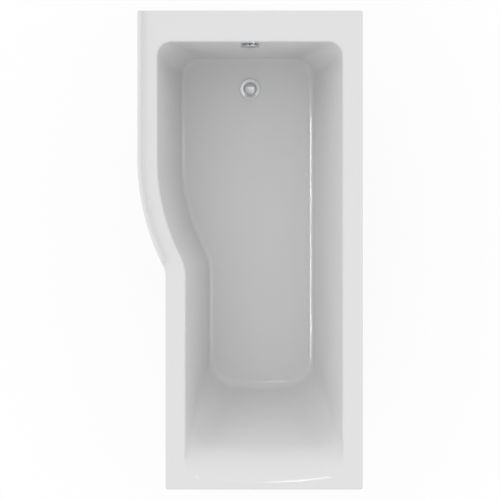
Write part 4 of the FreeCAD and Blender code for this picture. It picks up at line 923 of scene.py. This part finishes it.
daylight = add_node(tree, "ShaderNodeMath", {0: graded.outputs["Value"], 1: DOME_LEVEL}, operation="MULTIPLY")
print("dome at", DOME_LEVEL, "with", len(STOPS), "stops from the horizon up")

# %% [markdown]
# ## What mirrors and the camera see
# Chrome under an even dome would look flat. Reflections see a studio instead that is bright on one side and grey
# on the other, and the camera sees plain white. Light Path tells the rays apart, so neither changes the light on
# the bath.

# %% Reflections and background
STUDIO_SIDE, STUDIO_DARK, STUDIO_BRIGHT = (0.5, 0.5, 0.7), 0.35, 1.05
path = add_node(tree, "ShaderNodeLightPath")
mirrored = add_node(tree, "ShaderNodeMath", {
    0: path.outputs["Is Glossy Ray"], 1: path.outputs["Is Transmission Ray"],
}, operation="MAXIMUM")
across = add_node(tree, "ShaderNodeVectorMath", {0: toward, 1: STUDIO_SIDE}, operation="DOT_PRODUCT")
studio = add_node(tree, "ShaderNodeMapRange", {
    "Value": across.outputs["Value"], "From Min": -0.3, "From Max": 1.0,
    "To Min": STUDIO_DARK, "To Max": STUDIO_BRIGHT,
})
level = add_node(tree, "ShaderNodeMix", {
    "Factor": mirrored.outputs["Value"], "A": daylight.outputs["Value"], "B": studio.outputs["Result"],
})
level = add_node(tree, "ShaderNodeMix", {
    "Factor": path.outputs["Is Camera Ray"], "A": level.outputs["Result"], "B": 1.0,
})
sky = add_node(tree, "ShaderNodeBackground", {"Color": linear("FFFFFF"), "Strength": level.outputs["Result"]})
add_node(tree, "ShaderNodeOutputWorld", {"Surface": sky.outputs["Background"]})
print("reflections see from", STUDIO_DARK, "to", STUDIO_BRIGHT)

# %% [markdown]
# ## Strip lights
# The gloss of the acrylic shows as thin bright streaks where the tub turns: in the creases along the floor, at the
# foot of the backrest and on its upper edge. A streak is the mirror image of a lamp, so each has a soft box of its
# own, with a narrow beam that meets only the edge it is for. Diffuse rays don't see these lamps, so they add no
# light to the walls.

# %% Soft boxes that only mirrors see
# Name, place and aim in metres, two sides in metres, beam in degrees, power in watts.
STRIPS = (
    ("strip_front", (-0.564, 0.03, 1.081), (0.207, 0.03, 0.162), (1.0, 0.1), 13, 0.1),
    ("strip_foot", (0.105, 0.16, 3.2), (0.073, -0.6, 0.3), (0.07, 0.37), 20, 0.017),
    ("strip_wall", (4.3, 0.06, 4.4), (-0.2, 0.06, 0.16), (0.9, 0.8), 14, 0.12),
)
for name, spot, aim, sides, beam, power in STRIPS:
    light = bpy.data.lights.new(name, "AREA")
    light.shape = "RECTANGLE"
    light.size, light.size_y = sides
    light.spread = math.radians(beam)
    light.energy = power
    lamp = bpy.data.objects.new(name, light)
    lamp.location = spot
    lamp.rotation_euler = (Vector(aim) - Vector(spot)).to_track_quat("-Z", "Y").to_euler()
    lamp.visible_diffuse = lamp.visible_camera = False
    bpy.context.scene.collection.objects.link(lamp)
print(len(STRIPS), "soft boxes")
